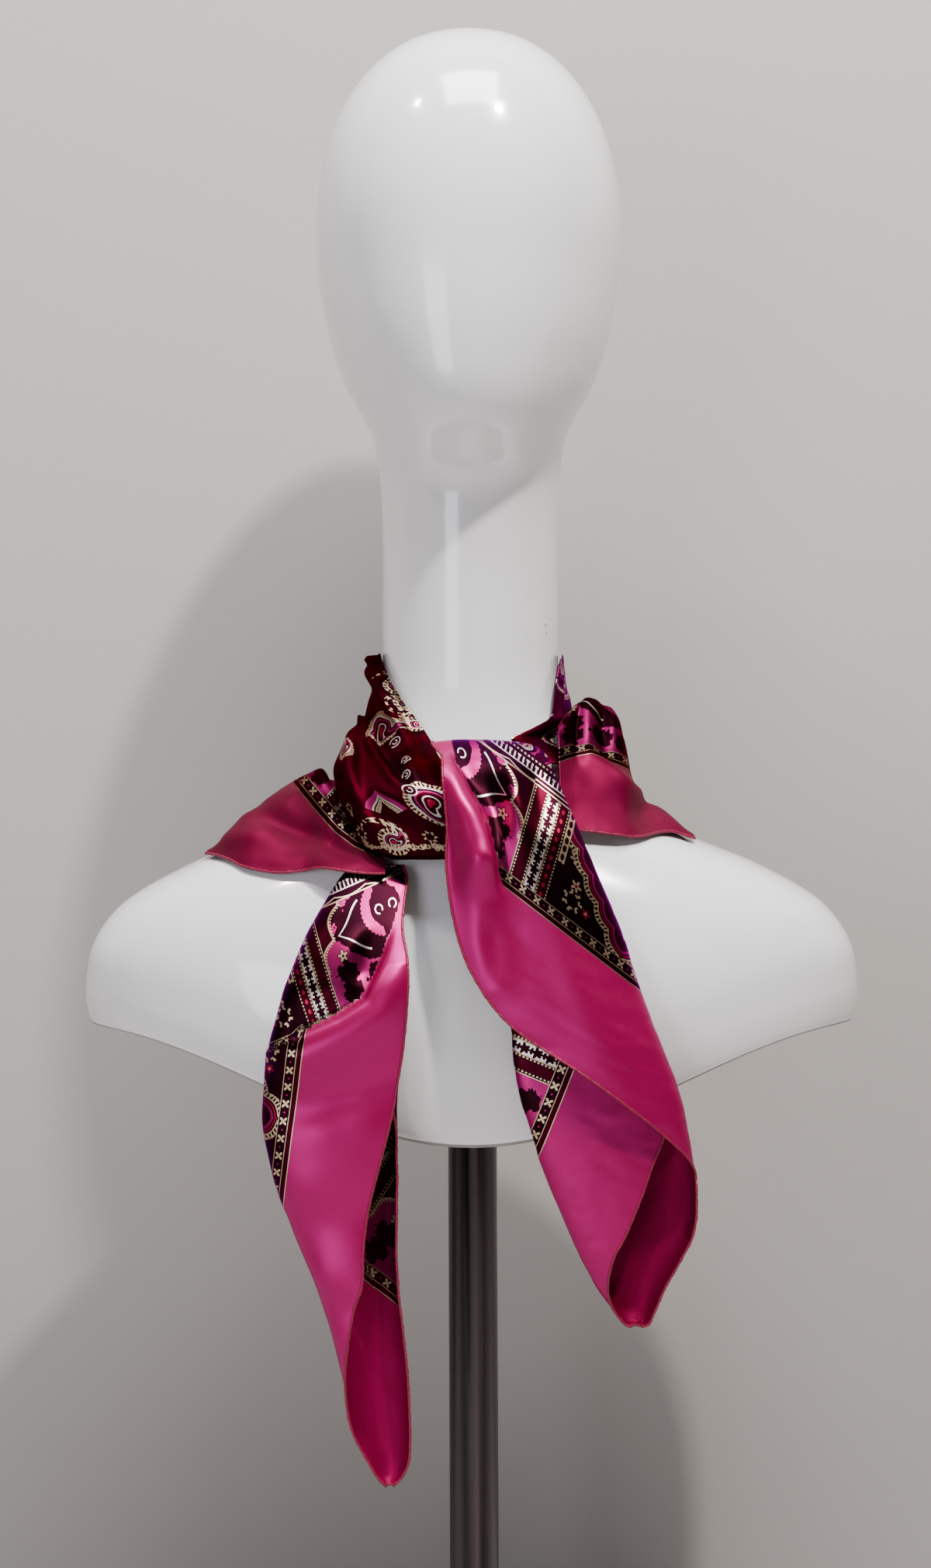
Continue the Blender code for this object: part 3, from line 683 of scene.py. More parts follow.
def plum_panel(shade, inside, hem, along, lumps):
    """Cream sprigs on plum, and a scalloped medallion with a coral fringe."""
    start = CORNER_BLOCK + BAND_WIDTH
    panel = inside & (along > start)
    over = mirrored(along, start, PANEL_REPEAT)
    shade = paint(shade, panel, PLUM)
    sprigs = paint_sprig(shade, over - 240.0, hem - 68.0, 3.9)
    sprigs = paint_sprig(sprigs, over - 236.5, hem - 90.0, 2.6)
    run = (hem - over) * 0.707
    deep = (hem + over - 332.4) * 0.707 + abs((run * (math.pi / 12.5)).math("SINE")) * 2.2
    u, v = over - 248.5, hem - 66.5
    return layers(
        paint(shade, panel, sprigs),
        (comb(deep * -1.0 - 1.6, run + lumps * 1.5, 3.2), CREAM),
        (deep > -0.7, ROSE),
        (deep > 0.1, PLUM),
        (deep > 0.9, BLOSSOM_PINK),
        (deep > 2.3, MAROON),
        (deep > 6.5, PLUM),
        (comb(deep - 7.6, run, 2.4), CREAM),
        (petals(u, v, 5, 1.9, 0.3), ROSE),
        (u * u + v * v < 0.5, CREAM),
        within=panel,
    )


def cross_band(shade, hem, along):
    """The band along the top of the blocks and panels, with white coral on plum."""
    over = hem - PANEL_DEPTH
    band = over.between(0.0, CROSS_BAND)
    wave = abs((along * (math.pi / 21.0)).math("SINE")) * 1.8 * (along < CORNER_BLOCK)
    return layers(
        paint(shade, band, PLUM),
        ((abs(over - 0.4) < 0.3) | (abs(over + wave - 2.6) < 0.3), CREAM),
        (comb(over - 4.6, along, 4.4, 2.6), WHITE),
        ((abs(over - 11.4) < 0.45) & dashes(along, 2.2), CREAM),
        within=band,
    )


def burgundy_middle(shade, hem, along):
    """Paisleys in staggered rows, with a sprig between each four."""
    hem = hem + (along / PAISLEY_CELL).math("FLOOR") * (PAISLEY_CELL / 2)
    shade = paint_paisley(shade, repeat(along, PAISLEY_CELL), repeat(hem, PAISLEY_HEIGHT), 10.5, 1.1)
    u = repeat(along + PAISLEY_CELL / 2, PAISLEY_CELL)
    return paint_sprig(shade, u, repeat(hem + PAISLEY_HEIGHT / 2, PAISLEY_HEIGHT), 3.0)


def flat_place(tree):
    """The place on the flat square in millimetres, and soft lumps for edges drawn by hand."""
    node = tree.nodes.new("ShaderNodeUVMap")
    node.uv_map = "cloth"
    hem, along = (part * 1000.0 for part in split_wire(Wire(tree, node.outputs["UV"]))[:2])
    flat = new_wire(tree, "CombineXYZ", "Vector", {"X": hem, "Y": along})
    return hem, along, flat, noise_wire(tree, flat, 0.36, 1.0) - 0.5


def square_print(tree):
    """The whole print, as the colour at a place on the flat square."""
    hem, along, flat, lumps = flat_place(tree)
    shade = burgundy_middle(color_wire(tree, BURGUNDY), hem, along)
    shade = paint(shade, hem < BORDER + CHAIN_WIDTH, MAGENTA)
    inside = hem.between(BORDER + CHAIN_WIDTH, PANEL_DEPTH)
    shade = corner_block(shade, inside, hem, along, lumps)
    shade = plum_panel(shade, inside, hem, along, lumps)
    shade = striped_band(shade, inside, hem, along)
    shade = cross_band(shade, hem, along)
    return chain_band(shade, hem, along), flat, hem < BORDER


PLAIN_METALLIC = 0.45
PRINT_METALLIC = 1.0
VIOLET_TINT = (0.82, 0.14, 0.88, 1.0)
CRIMSON_TINT = (0.66, 0.10, 0.30, 1.0)


def satin(name, make_print, painted_shade, shine, roughness, fade=0.0, tint=VIOLET_TINT):
    """Printed satin, a shot cloth: crimson in the shade and violet in the light, less so where printed.

    Its painted shade darkens the whole piece evenly, shade painted into its colour, where 1 leaves it as
    it is. The wrong side shows the print fainter, over the dye that came through.
    """
    made, tree, shader = new_material(name)
    shade, flat, plain = make_print(tree)
    slubs = noise_wire(tree, flat, 0.30, 3.0) * plain * 0.30
    # Painted shade: the whole colour is darkened wherever the piece's number is below 1.
    shade = layers(shade, (fade, REVERSE), (slubs, [c * 0.55 for c in MAGENTA]), (1.0 - painted_shade, (0, 0, 0)))
    dress(shader, {
        "Base Color": shade,
        "Metallic": plain * (PLAIN_METALLIC - PRINT_METALLIC) + PRINT_METALLIC,
        "Roughness": roughness,
        "IOR": 1.9,
        "Specular IOR Level": shine,
        "Specular Tint": tint,
        "Anisotropic": 0.5,
    })
    bump(tree, shader, noise_wire(tree, flat, 1.6), 0.00008, 0.35)
    return made


# Each satin's first number is painted shade that darkens the whole piece. The others are its shine, its
# roughness and how much of the wrong side shows.
right_side = satin("satin_right_side", square_print, 1.0, 0.60, 0.40)
inside_side = satin("satin_inside_left", square_print, 0.80, 0.10, 0.50, 0.22)
wrong_side = satin("satin_wrong_side", square_print, 0.86, 0.06, 0.50, 0.75)


# ---------------------------------------------------------------- tails
# Each tail is a corner of the square, rolled into a cone. The tables and the form repeat the CAD solids,
# in finer steps and with more creases. The sheet is 0.5 mm thick, with its wrong side inside the roll.
SHEET_THICKNESS = 0.0005
ROLL_ROUNDNESS = 0.75
HEM_OVERHANG = 1.22
# z, fold_x, far_x, front_hem_x, inner_hem_x, middle_y, front, back, inner, lean
TAIL_RIGHT_LEVELS = metres((
    (522.5, 31, 0, -16, 0, -63, 6.5, 4.5, 1, 80),
    (525, 33, -1.5, -18.5, -1.5, -69, 8, 4.8, 1.2, 58),
    (525, 35.4, -2, -19, -2, -77, 9.5, 5, 1.5, 36),
    (521, 38.5, -0.9, -15, -0.9, -85, 11, 6.5, 3.5, 18),
    (513.5, 41.2, 1.7, -12.4, 15, -93, 14, 7.5, 4.5, 6),
    (491.3, 50.3, 6.4, -11.8, 35.9, -101, 18, 8, 5, 0),
    (469.1, 59.5, 10, -12.2, 46.9, -103, 20, 8, 5.5, 0),
    (439.4, 71.9, 14.6, -7.2, 59.7, -105, 20, 8, 6, 0),
    (417.2, 78.8, 17.1, 1.6, 70.7, -109, 19, 8, 6, 0),
    (395, 86.5, 18.1, 18.9, 79.5, -112.5, 18, 8.5, 6, 0),
    (372.8, 95.3, 20.2, 52, 86.2, -114, 17.5, 9.5, 6.5, 0),
    (358, 100, 23.1, 72.3, 90, -114.5, 17, 10, 7.5, 0),
    (343.2, 102.9, 27.9, 90.7, 91.1, -114.5, 16, 10.5, 8, 0),
    (328.4, 105.4, 32.2, 104.3, 85.1, -114, 14, 11, 9, 0),
    (313.6, 106.8, 38.1, 106.6, 79.8, -114, 12, 12, 9.5, 0),
    (295.1, 105.3, 45.8, 105.1, 72, -114, 10, 12, 9.5, 0),
    (284.1, 100, 50.9, 99.8, 66.4, -114, 10, 12, 9, 0),
    (269.3, 91.8, 58.6, 91.6, 63.8, -113, 8, 11, 7, 0),
    (258.3, 87, 66.3, 86.8, 67, -112, 6, 9, 4, 0),
    (252.4, 84.7, 71.1, 84.5, 71.3, -111.5, 4, 6, 2, 0),
    (250.8, 83.2, 72.8, 83, 73, -111.5, 3, 4.5, 1.5, 0),
    (250, 81, 75, 80.8, 75.2, -111.5, 2.2, 3, 1, 0),
), 9)
TAIL_LEFT_LEVELS = metres((
    (470.5, -59, -33.5, -33.5, -33.5, -83.8, 5, 4, 2, 0),
    (464, -64.5, -32.5, -31.5, -32.5, -87.5, 7, 4.5, 2.5, 0),
    (453, -71.4, -33.5, -32.6, -41, -93.5, 11, 5.5, 3, 0),
    (440.1, -78.9, -35.5, -33.5, -50, -99, 16, 6.5, 4, 0),
    (425.4, -85.2, -35, -32.4, -52, -105.5, 18, 7, 5, 0),
    (410.6, -90.5, -34.5, -31.7, -52, -111, 19, 8, 6, 0),
    (389.6, -96.5, -35, -32.5, -50, -113.5, 18, 9, 6, 0),
    (375.5, -99.1, -35.2, -34.1, -45, -114, 18, 9.5, 6, 0),
    (360.7, -100.3, -36, -36.5, -40, -114.5, 18, 10, 6, 0),
    (348.6, -100.4, -36.1, -39.4, -37.2, -115, 17.5, 10.5, 6, 0),
    (329.7, -97.1, -36.1, -44.3, -36.4, -115.5, 17, 11, 6, 0),
    (311.9, -92, -36.2, -48.4, -36.4, -116, 16.5, 11.5, 6, 0),
    (291.2, -83.6, -36.7, -51.8, -36.9, -116.5, 15.5, 12, 6, 0),
    (273.8, -76.3, -36, -52.7, -36.2, -117, 15, 12, 6, 0),
    (261.6, -71.9, -35, -56.8, -35.2, -117.5, 14, 12, 6, 0),
    (246, -67.2, -33.2, -59.4, -33.4, -118, 13, 12, 6, 0),
    (224.2, -62.1, -31.1, -61.2, -31.3, -118.5, 12, 12, 6, 0),
    (202.4, -58.1, -30.4, -57.9, -30.6, -118.5, 11, 11, 6, 0),
    (188.7, -50.8, -30.9, -50.6, -31.1, -118.5, 9, 9, 5, 0),
    (180.5, -46.4, -34.2, -46.2, -34.4, -118.5, 6, 6.5, 3, 0),
    (177.2, -43.4, -37.3, -43.2, -37.5, -118.5, 4, 4.5, 2, 0),
    (176.2, -42.4, -38.4, -42.3, -38.5, -118.5, 2.6, 3, 1.2, 0),
), 9)
# x1, z1, x2, z2, lift, left_width, right_width
TAIL_RIGHT_CREASES = metres((
    (-12, 519.2, -10, 465.7, 2, 4, 4),
    (8, 445, 11, 420, 2, 5, 5),
    (40, 442, 64, 380, -1.6, 9, 11),
    (60, 434, 90, 352, 1.6, 10, 14),
    (7, 520, 15, 490, 2.2, 4.5, 5),
    (18, 520, 23, 485, -3.4, 4, 5),
    (30, 522, 36, 488, 2, 5, 6),
))
TAIL_LEFT_CREASES = metres((
    (-52, 456, -62, 425, -3, 5.5, 5.5),
    (-44, 452, -54, 422, 2, 4.5, 4.5),
    (-68, 440, -78, 408, 1.6, 5, 6),
    (-33, 370, -86, 356, 3.6, 11, 10),
    (-40, 308, -92, 298, 3, 15, 15),
    (-56, 266, -72, 260, 1.4, 10, 10),
))


def lengths_along(points, axis=0):
    """How far each point of a path or grid is along it."""
    steps = np.linalg.norm(np.diff(points, axis=axis), axis=-1)
    return np.insert(np.cumsum(steps, axis=axis), 0, 0.0, axis=axis)


def even_steps(path, count):
    """The points of a path, respaced evenly along it. Its first three columns are its places."""
    gone = lengths_along(path[:, :3])
    at = np.linspace(0, gone[-1], count)
    return np.stack([np.interp(at, gone, column) for column in path.T], axis=1)


def outward(grid, side):
    """The unit normals of a grid, on the side that faces out."""
    out = np.cross(np.gradient(grid, axis=0), np.gradient(grid, axis=1)) * side
    return out / np.maximum(np.linalg.norm(out, axis=2, keepdims=True), 1e-12)


def crease_lift(x, z, creases):
    """How far the creases lift the cloth at places seen from the front."""
    lift = np.zeros_like(x)
    for x1, z1, x2, z2, height, left_width, right_width in creases:
        run_x, run_z = x2 - x1, z2 - z1
        length = math.hypot(run_x, run_z)
        along = ((x - x1) * run_x + (z - z1) * run_z) / length ** 2
        beside = ((z - z1) * run_x - (x - x1) * run_z) / length
        width = np.where(beside > 0, right_width, left_width)
        ends = np.sin(math.pi * np.clip((along + 0.2) / 1.4, 0, 1))
        lift += height * ends * np.exp(-(beside / width) ** 2)
    return lift


def fold_distance(x, z, line):
    """How far places are from a line of (x, z) points, and how much of the line is left there.

    The distance is above 0 on the left of the line as one follows it.
    """
    nearest = np.full(x.shape, np.inf)
    signed, left = np.zeros(x.shape), np.zeros(x.shape)
    total = sum(math.dist(a, b) for a, b in zip(line, line[1:]))
    for (x1, z1), (x2, z2) in zip(line, line[1:]):
        run_x, run_z = x2 - x1, z2 - z1
        square = run_x ** 2 + run_z ** 2
        share = np.clip(((x - x1) * run_x + (z - z1) * run_z) / square, 0, 1)
        away = np.hypot(x - x1 - share * run_x, z - z1 - share * run_z)
        side = np.sign(run_x * (z - z1) - run_z * (x - x1))
        signed = np.where(away < nearest, away * side, signed)
        left = np.where(away < nearest, total - share * math.sqrt(square), left)
        nearest = np.minimum(away, nearest)
        total -= math.sqrt(square)
    return signed, left


FOLD_FADE = 0.026
WRINKLES = 7
LONGEST_WRINKLE = 0.034


def folded_edge(x, z, line, height, gentle, steep, hollow, hollow_width):
    """The lift of a fold that lies over the cloth on the right of a line, with a hollow beside it."""
    away, left = fold_distance(x, z, line)
    rise = np.where(away > 0, np.exp(-(away / gentle) ** 2), np.exp(-(away / steep) ** 2))
    sink = np.exp(-((away + steep + 0.8 * hollow_width) / hollow_width) ** 2)
    end = np.clip(left / FOLD_FADE, 0, 1)
    return (height * rise - hollow * sink) * end * end * (3 - 2 * end)


def wrinkled(grid, seed, depth, side):
    """A grid with small soft wrinkles, at angles and sizes that differ from place to place."""
    draw = np.random.default_rng(seed)
    down, across = lengths_along(grid, 0), lengths_along(grid, 1)
    lift = np.zeros(grid.shape[:2])
    for _ in range(WRINKLES):
        angle = draw.uniform(0, math.pi)
        length = draw.uniform(0.010, LONGEST_WRINKLE)
        phase = draw.uniform(0, 2 * math.pi, 3)
        gone = down * math.cos(angle) + across * math.sin(angle)
        aside = across * math.cos(angle) - down * math.sin(angle)
        bend = 0.9 * np.sin(2 * math.pi * aside / (length * 2.7) + phase[0])
        patch = 0.5 + 0.5 * np.sin(2 * math.pi * aside / (length * 1.9) + gone / length + phase[1])
        lift += length / LONGEST_WRINKLE * np.sin(2 * math.pi * gone / length + bend + phase[2]) * patch
    return grid + outward(grid, side) * (depth * lift / 2)[:, :, None]


def creased(grid, free, creases, side, more=0.0):
    """A grid moved along its own normals by its creases, as far as each point is free to move."""
    lift = free * (crease_lift(grid[:, :, 0], grid[:, :, 2], creases) + more)
    return grid + outward(grid, side) * lift[:, :, None]


def tail_level(level, count):
    """One level of a rolled tail, from its front hem to its inner hem, with each point's turn."""
    z, fold_x, far_x, front_hem_x, inner_hem_x, middle_y, front, back, inner, lean = level
    side = math.copysign(1, fold_x - far_x)
    far = abs(fold_x - far_x)
    hem = max(side * (fold_x - front_hem_x), 0)
    front_span = max(far, hem * HEM_OVERHANG)
    under = max(side * (inner_hem_x - far_x), 0)
    start = math.acos(1 - 2 * hem / front_span)
    end = math.acos(1 - 2 * min(under / far, 0.98))
    turn = np.linspace(start, -math.pi - end, 400)
    span = np.where(turn > 0, front_span, far)
    depth = np.where(turn > 0, -front, np.where(turn > -math.pi, back, -inner))
    depth = depth * np.abs(np.sin(turn)) ** ROLL_ROUNDNESS
    x = fold_x - side * span * (1 - np.cos(turn)) / 2
    y = middle_y + depth * math.cos(math.radians(lean))
    height = z - depth * math.sin(math.radians(lean))
    return even_steps(np.stack([x, y, height, turn], axis=1), count)


def tail_sheet(levels, creases, folds, steps, count, side, seed):
    """A rolled tail as a grid of points, with each point's turn. The front layer has the creases."""
    rows = np.array([tail_level(level, count) for level in smooth_rows(levels, steps)])
    free = np.clip(rows[:, :, 3] / 0.6, 0, 1)
    free = free * np.clip((np.arange(len(rows)) / steps - 2.6) / 1.6, 0, 1)[:, None]
    more = sum(folded_edge(rows[:, :, 0], rows[:, :, 2], *fold) for fold in folds)
    grid = creased(rows[:, :, :3], free, creases, side, more)
    return wrinkled(grid, seed, 0.00022, side), rows[:, :, 3]


def on_flat(x, z, base, hem_step, along_step):
    """Places seen from the front as places on the flat square, by two steps from a base point.

    base is (x, z, hem, along). hem_step is (dx, dz, length further from the hem), and along_step is
    (dx, dz, length further along the hem). All are in millimetres.
    """
    base, hem_step, along_step = (np.array(row) / 1000 for row in (base, hem_step, along_step))
    off_x, off_z = x - base[0], z - base[1]
    spread = hem_step[0] * along_step[1] - hem_step[1] * along_step[0]
    hem_share = (off_x * along_step[1] - off_z * along_step[0]) / spread
    along_share = (hem_step[0] * off_z - hem_step[1] * off_x) / spread
    hem = base[2] + hem_share * hem_step[2]
    along = base[3] + along_share * along_step[2]
    return np.stack([hem, along], axis=-1)


def cloth_piece(name, grid, flat, outside_first, outer=right_side, inner=wrong_side):
    """A thin sheet through a grid of points, with its UV map."""
    at = np.arange(grid.shape[0] * grid.shape[1]).reshape(grid.shape[:2])
    faces = np.stack([at[:-1, :-1], at[1:, :-1], at[1:, 1:], at[:-1, 1:]], axis=-1).reshape(-1, 4)
    faces = faces if outside_first else faces[:, ::-1]
    piece = add_object(name, grid.reshape(-1, 3).tolist(), faces.tolist(), outer, inner)
    layer = piece.data.uv_layers.new(name="cloth")
    corners = np.empty(len(piece.data.loops), int)
    piece.data.loops.foreach_get("vertex_index", corners)
    layer.data.foreach_set("uv", flat.reshape(-1, 2)[corners].ravel())
    wall = piece.modifiers.new("sheet", "SOLIDIFY")
    wall.thickness = SHEET_THICKNESS
    wall.offset = -1
    wall.material_offset = 1
    wall.material_offset_rim = 0
    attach(piece, "root")
    return piece


HEM_RADIUS = 0.0007
HEM_STEP = 0.0006
STITCH_PITCH = 0.0042
STITCH_REACH = 0.00066
STITCH_SLANT = 0.0004
STITCH_STEPS = 12
STITCH_NIP = 0.0005
THREAD_RADIUS = 0.00013


def hem_material(name, color):
    made, tree, shader = new_material(name)
    shade = paint(color_wire(tree, color), noise_wire(tree, place_wire(tree), 900.0), srgb(112, 6, 40))
    dress(shader, {"Base Color": shade, "Roughness": 0.5, "Metallic": 0.3})
    return made


rolled = hem_material("rolled_hem", srgb(132, 8, 54))
thread = hem_material("hem_thread", srgb(160, 24, 84))


def stitch_rings(path, along, aside, points, faces):
    """The thread of the hem: a fine slanted loop round the roll at every stitch."""
    every = round(STITCH_PITCH / HEM_STEP)
    for i in range(every // 2, len(path) - 1, every):
        up = np.cross(along[i], aside[i])
        faces += tube_faces(len(points), STITCH_STEPS, 4, closed=True)
        for k in range(STITCH_STEPS):
            turn = 2 * math.pi * k / STITCH_STEPS
            out = aside[i] * math.cos(turn) + up * math.sin(turn)
            middle = path[i] + out * STITCH_REACH + along[i] * STITCH_SLANT * math.cos(turn)
            for s, t in ((1, 0), (0, 1), (-1, 0), (0, -1)):
                points.append(middle + (out * s + along[i] * t) * THREAD_RADIUS)


def rolled_hem(name, edge, radius=HEM_RADIUS, sides=8):
    """A hand-rolled hem along an edge: a fine tube, nipped in a little at every stitch."""
    path = even_steps(edge, max(int(lengths_along(edge)[-1] / HEM_STEP), 8))
    along = np.gradient(path, axis=0)
    along /= np.linalg.norm(along, axis=1, keepdims=True)
    aside = np.cross(along[0], (0.0, 1.0, 0.3))
    points, asides = [], []
    for i, centre in enumerate(path):
        aside = aside - along[i] * np.dot(along[i], aside)
        aside /= np.linalg.norm(aside)
        asides.append(aside)
        up = np.cross(along[i], aside)
        gone = i * HEM_STEP
        nip = math.exp(-((gone % STITCH_PITCH - STITCH_PITCH / 2) / STITCH_NIP) ** 2)
        size = radius * (1 + 0.10 * math.sin(gone * 900) + 0.07 * math.sin(gone * 2300 + 1) - 0.22 * nip)
        for k in range(sides):
            turn = 2 * math.pi * k / sides
            points.append(centre + size * (aside * math.cos(turn) + up * math.sin(turn)))
    faces = tube_faces(0, len(path), sides)
    faces.append(tuple(range(sides))[::-1])
    faces.append(tuple((len(path) - 1) * sides + k for k in range(sides)))
    roll_faces = len(faces)
    stitch_rings(path, along, asides, points, faces)
    piece = add_object(name, np.array(points).tolist(), faces, rolled, thread)
    for face in piece.data.polygons[roll_faces:]:
        face.material_index = 1
    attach(piece, "root")
    return piece


def open_edges(grid):
    """The edge of a rolled tail: down its front hem, across its tip and up its inner hem."""
    return np.concatenate([grid[:-1, 0], grid[-1, :-1], grid[::-1, -1]])


def with_back(front_flat, inner_flat, turn, until):
    """The flat places of a whole roll. Its back lies evenly between the front and inner layers."""
    flat = np.where((turn > 0)[:, :, None], front_flat, inner_flat)
    for row in range(turn.shape[0]):
        back = np.flatnonzero((turn[row] <= 0) & (turn[row] > until))
        if len(back):
            start = front_flat[row, max(back[0] - 1, 0)]
            stop = inner_flat[row, min(back[-1] + 1, turn.shape[1] - 1)]
            flat[row, back] = start + (stop - start) * np.linspace(0, 1, len(back))[:, None]
    return flat


# The lines of the tails' folds, seen from the front. Under a fold only the plain border shows.
RIGHT_PLAIN_HEM = 0.044
LEFT_PLAIN_HEM = 0.0495
LEFT_PLAIN_X = -0.0770
PRINT_BLEND = 0.012
RIGHT_PLEAT = metres(((-10, 535), (-7.5, 521.1), (-1, 509.6), (6, 497.8), (9.6, 487.1),
                      (12.2, 475.6), (13.6, 464), (16, 453)))
RIGHT_STREAK = metres(((17, 462), (19, 448), (21, 434.9), (25, 420), (31, 409)))
RIGHT_FOLDS = (
    (RIGHT_PLEAT, 0.0045, 0.0090, 0.0016, 0.0080, 0.0085),
    (RIGHT_STREAK, 0.0014, 0.0120, 0.0085, 0.0026, 0.0080),
)
grid, turn = tail_sheet(TAIL_RIGHT_LEVELS, TAIL_RIGHT_CREASES, RIGHT_FOLDS, 12, 180, -1, 11)
x, z = grid[:, :, 0], grid[:, :, 2]
front_flat = on_flat(x, z, (17.6, 467.9, 58.5, 205), (12.8, 42.3, 51.5), (67.9, -52.6, 85.9))
hem = front_flat[:, :, 0]
left_of_pleat = (fold_distance(x, z, RIGHT_PLEAT)[0] < 0) & (z > RIGHT_PLEAT[-1, 1])
hem[left_of_pleat] = np.minimum(hem[left_of_pleat], RIGHT_PLAIN_HEM)
inner_flat = on_flat(x, z, (42.7, 375.8, 56, 216), (-46.4, 18.7, 50), (17.5, 43.4, 46.8))
flat = with_back(front_flat, inner_flat, turn, -math.pi)
tail_right = cloth_piece("tail_right", grid, flat, True)
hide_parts("scarf_tail_right")
hem = rolled_hem("tail_right_hem", open_edges(grid))

LEFT_OVERHANG = metres(((-82, 393), (-79.9, 394.3), (-63, 402.3), (-51.1, 410), (-43.3, 427.7),
                        (-37.4, 443.8), (-34, 456)))
LEFT_FOLDS = ((LEFT_OVERHANG, 0.0050, 0.0110, 0.0016, 0.0060, 0.0110),)
grid, turn = tail_sheet(TAIL_LEFT_LEVELS, TAIL_LEFT_CREASES, LEFT_FOLDS, 12, 160, 1, 12)
x, z = grid[:, :, 0], grid[:, :, 2]
upper_flat = on_flat(x, z, (-62.3, 404, 60, 205), (-13.5, 39.5, 45), (-18.6, -8.2, 26))
lower_flat = on_flat(x, z, (-78.7, 391.6, 50, 231), (-46.3, 3, 50), (-10, -72, 74))
above = fold_distance(x, z, LEFT_OVERHANG)[0]
share = np.where(x > LEFT_OVERHANG[1, 0], above > 0, np.clip(above / PRINT_BLEND + 0.5, 0, 1))[:, :, None]
front_flat = upper_flat * share + lower_flat * (1 - share)
hem = front_flat[:, :, 0]
under_edge = (above <= 0) & (x > LEFT_PLAIN_X)
hem[under_edge] = np.minimum(hem[under_edge], LEFT_PLAIN_HEM)
inside_flat = on_flat(x, z, (-52.3, 271, 50, 190), (5.9, 9, 10.7), (-16.7, 10.9, 20))
flat = with_back(front_flat, inside_flat, turn, -0.62 * math.pi)
tail_left = cloth_piece("tail_left", grid, flat, False, right_side, inside_side)
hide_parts("scarf_tail_left")
hem = rolled_hem("tail_left_hem", open_edges(grid))


# ---------------------------------------------------------------- wrap and collar
# The wrap comes down from the left of the neck, crosses the front and goes under itself. The collar is
# what shows of the same cloth on the right of the neck. Their forms repeat the CAD solids.
FULL_BOW = 0.010
# z, left_x, left_y, right_x, right_y, bow
KNOT_LEVELS = metres((
    (578, -48, 20, -47.2, -8, 1),
    (570.5, -48.6, 19, -45, -18, 1.6),
    (562.4, -50.2, 15, -41, -28.5, 3),
    (551, -53, 6, -33.5, -40.5, 7),
    (539.6, -56, -8, -25, -49.5, 11),
    (532.4, -61, -20, -20.5, -55, 14),
    (524, -65.5, -32, -16, -63, 19),
    (517.2, -67.5, -42, -10, -73, 22),
    (507.2, -65.5, -53, -1, -86, 23),
    (495, -61.5, -65, 4, -91, 21),
    (482.4, -54.5, -81, 4, -95, 15),
    (476.5, -46, -91, -3, -97, 10),
    (473.5, -38, -95, -13, -97, 5),
))
COLLAR_RIGHT_LEVELS = metres((
    (577, 47.2, -7, 48, 20, 1),
    (568.6, 45.6, -16, 49.4, 17.5, 1.6),
    (559.7, 43.8, -24.5, 50.8, 11.5, 2.5),
    (554.1, 42.8, -30, 52, 5, 3),
    (546.5, 41.5, -37, 52.5, -4, 3.8),
    (542.4, 39, -43, 51.8, -12, 4),
    (537.5, 30, -51.5, 47.2, -26, 4),
    (532.5, 20, -58, 42.5, -37, 3.5),
    (527, 29, -56, 45.5, -40, 3.5),
    (520, 40, -56, 48, -48, 2),
))
# x1, z1, x2, z2, lift, left_width, right_width
KNOT_CREASES = metres((
    (-54, 548, -44, 523, 3, 6, 4.5),
    (-43, 530, -30, 508, 3, 6, 4.5),
    (-62, 520, -56, 488, 2, 5, 5),
    (-47, 496, -20, 490, 2.4, 9, 9),
    (-34, 524, -26, 510, -6, 3.6, 3.6),
    (-12, 516, -6, 490, -4, 5, 4),
))
COLLAR_CREASES = metres((
    (47.6, 574, 46.2, 540, -1.6, 1.4, 1.4),
    (50, 564, 48.4, 540, 1.2, 1.5, 1.5),
    (44, 556, 40, 536, 1, 2, 2),
))


# Folds of the wrap that lie over the cloth beside them: the line, height, widths and hollow of each
WRAP_FOLDS = (
    (metres(((-46.2, 572), (-38.5, 554), (-30, 537), (-20.5, 519))),
     0.0030, 0.0040, 0.0011, 0.0070, 0.0036),
    (metres(((-56, 540), (-55.5, 518), (-50, 498), (-40, 483))),
     0.0016, 0.0080, 0.0016, 0.0050, 0.0040),
    (metres(((-48, 533), (-36, 516), (-20, 505))),
     0.0020, 0.0040, 0.0011, 0.0036, 0.0030),
)


def bowed_sheet(levels, creases, steps, count, side, folds=()):
    """A sheet bowed out from the chord between its two edges, level by level."""
    rows, free = [], []
    turns = np.linspace(0, math.pi, count)
    for z, left_x, left_y, right_x, right_y, bow in smooth_rows(levels, steps):
        run_x, run_y = right_x - left_x, right_y - left_y
        length = math.hypot(run_x, run_y)
        fullness = min(bow / FULL_BOW, 1)
        shares = fullness * (1 - np.cos(turns)) / 2 + (1 - fullness) * turns / math.pi
        rises = bow * np.sin(turns)
        rows.append(np.stack([left_x + run_x * shares + run_y / length * rises,
                              left_y + run_y * shares - run_x / length * rises,
                              np.full(count, z)], axis=1))
        free.append(np.sin(turns))
    grid = np.array(rows)
    more = sum(folded_edge(grid[:, :, 0], grid[:, :, 2], *fold) for fold in folds)
    return wrinkled(creased(grid, np.array(free), creases, side, more), 13, 0.0002, side)


def laid_flat(grid, base):
    """A grid's places on the flat square, by its own lengths across and down from a base place."""
    across = lengths_along(grid, 1)
    across -= across[:, -1:] / 2
    down = lengths_along(grid[:, grid.shape[1] // 2])
    return np.stack([base[0] + across, np.broadcast_to(base[1] + down[:, None], across.shape)], axis=-1)


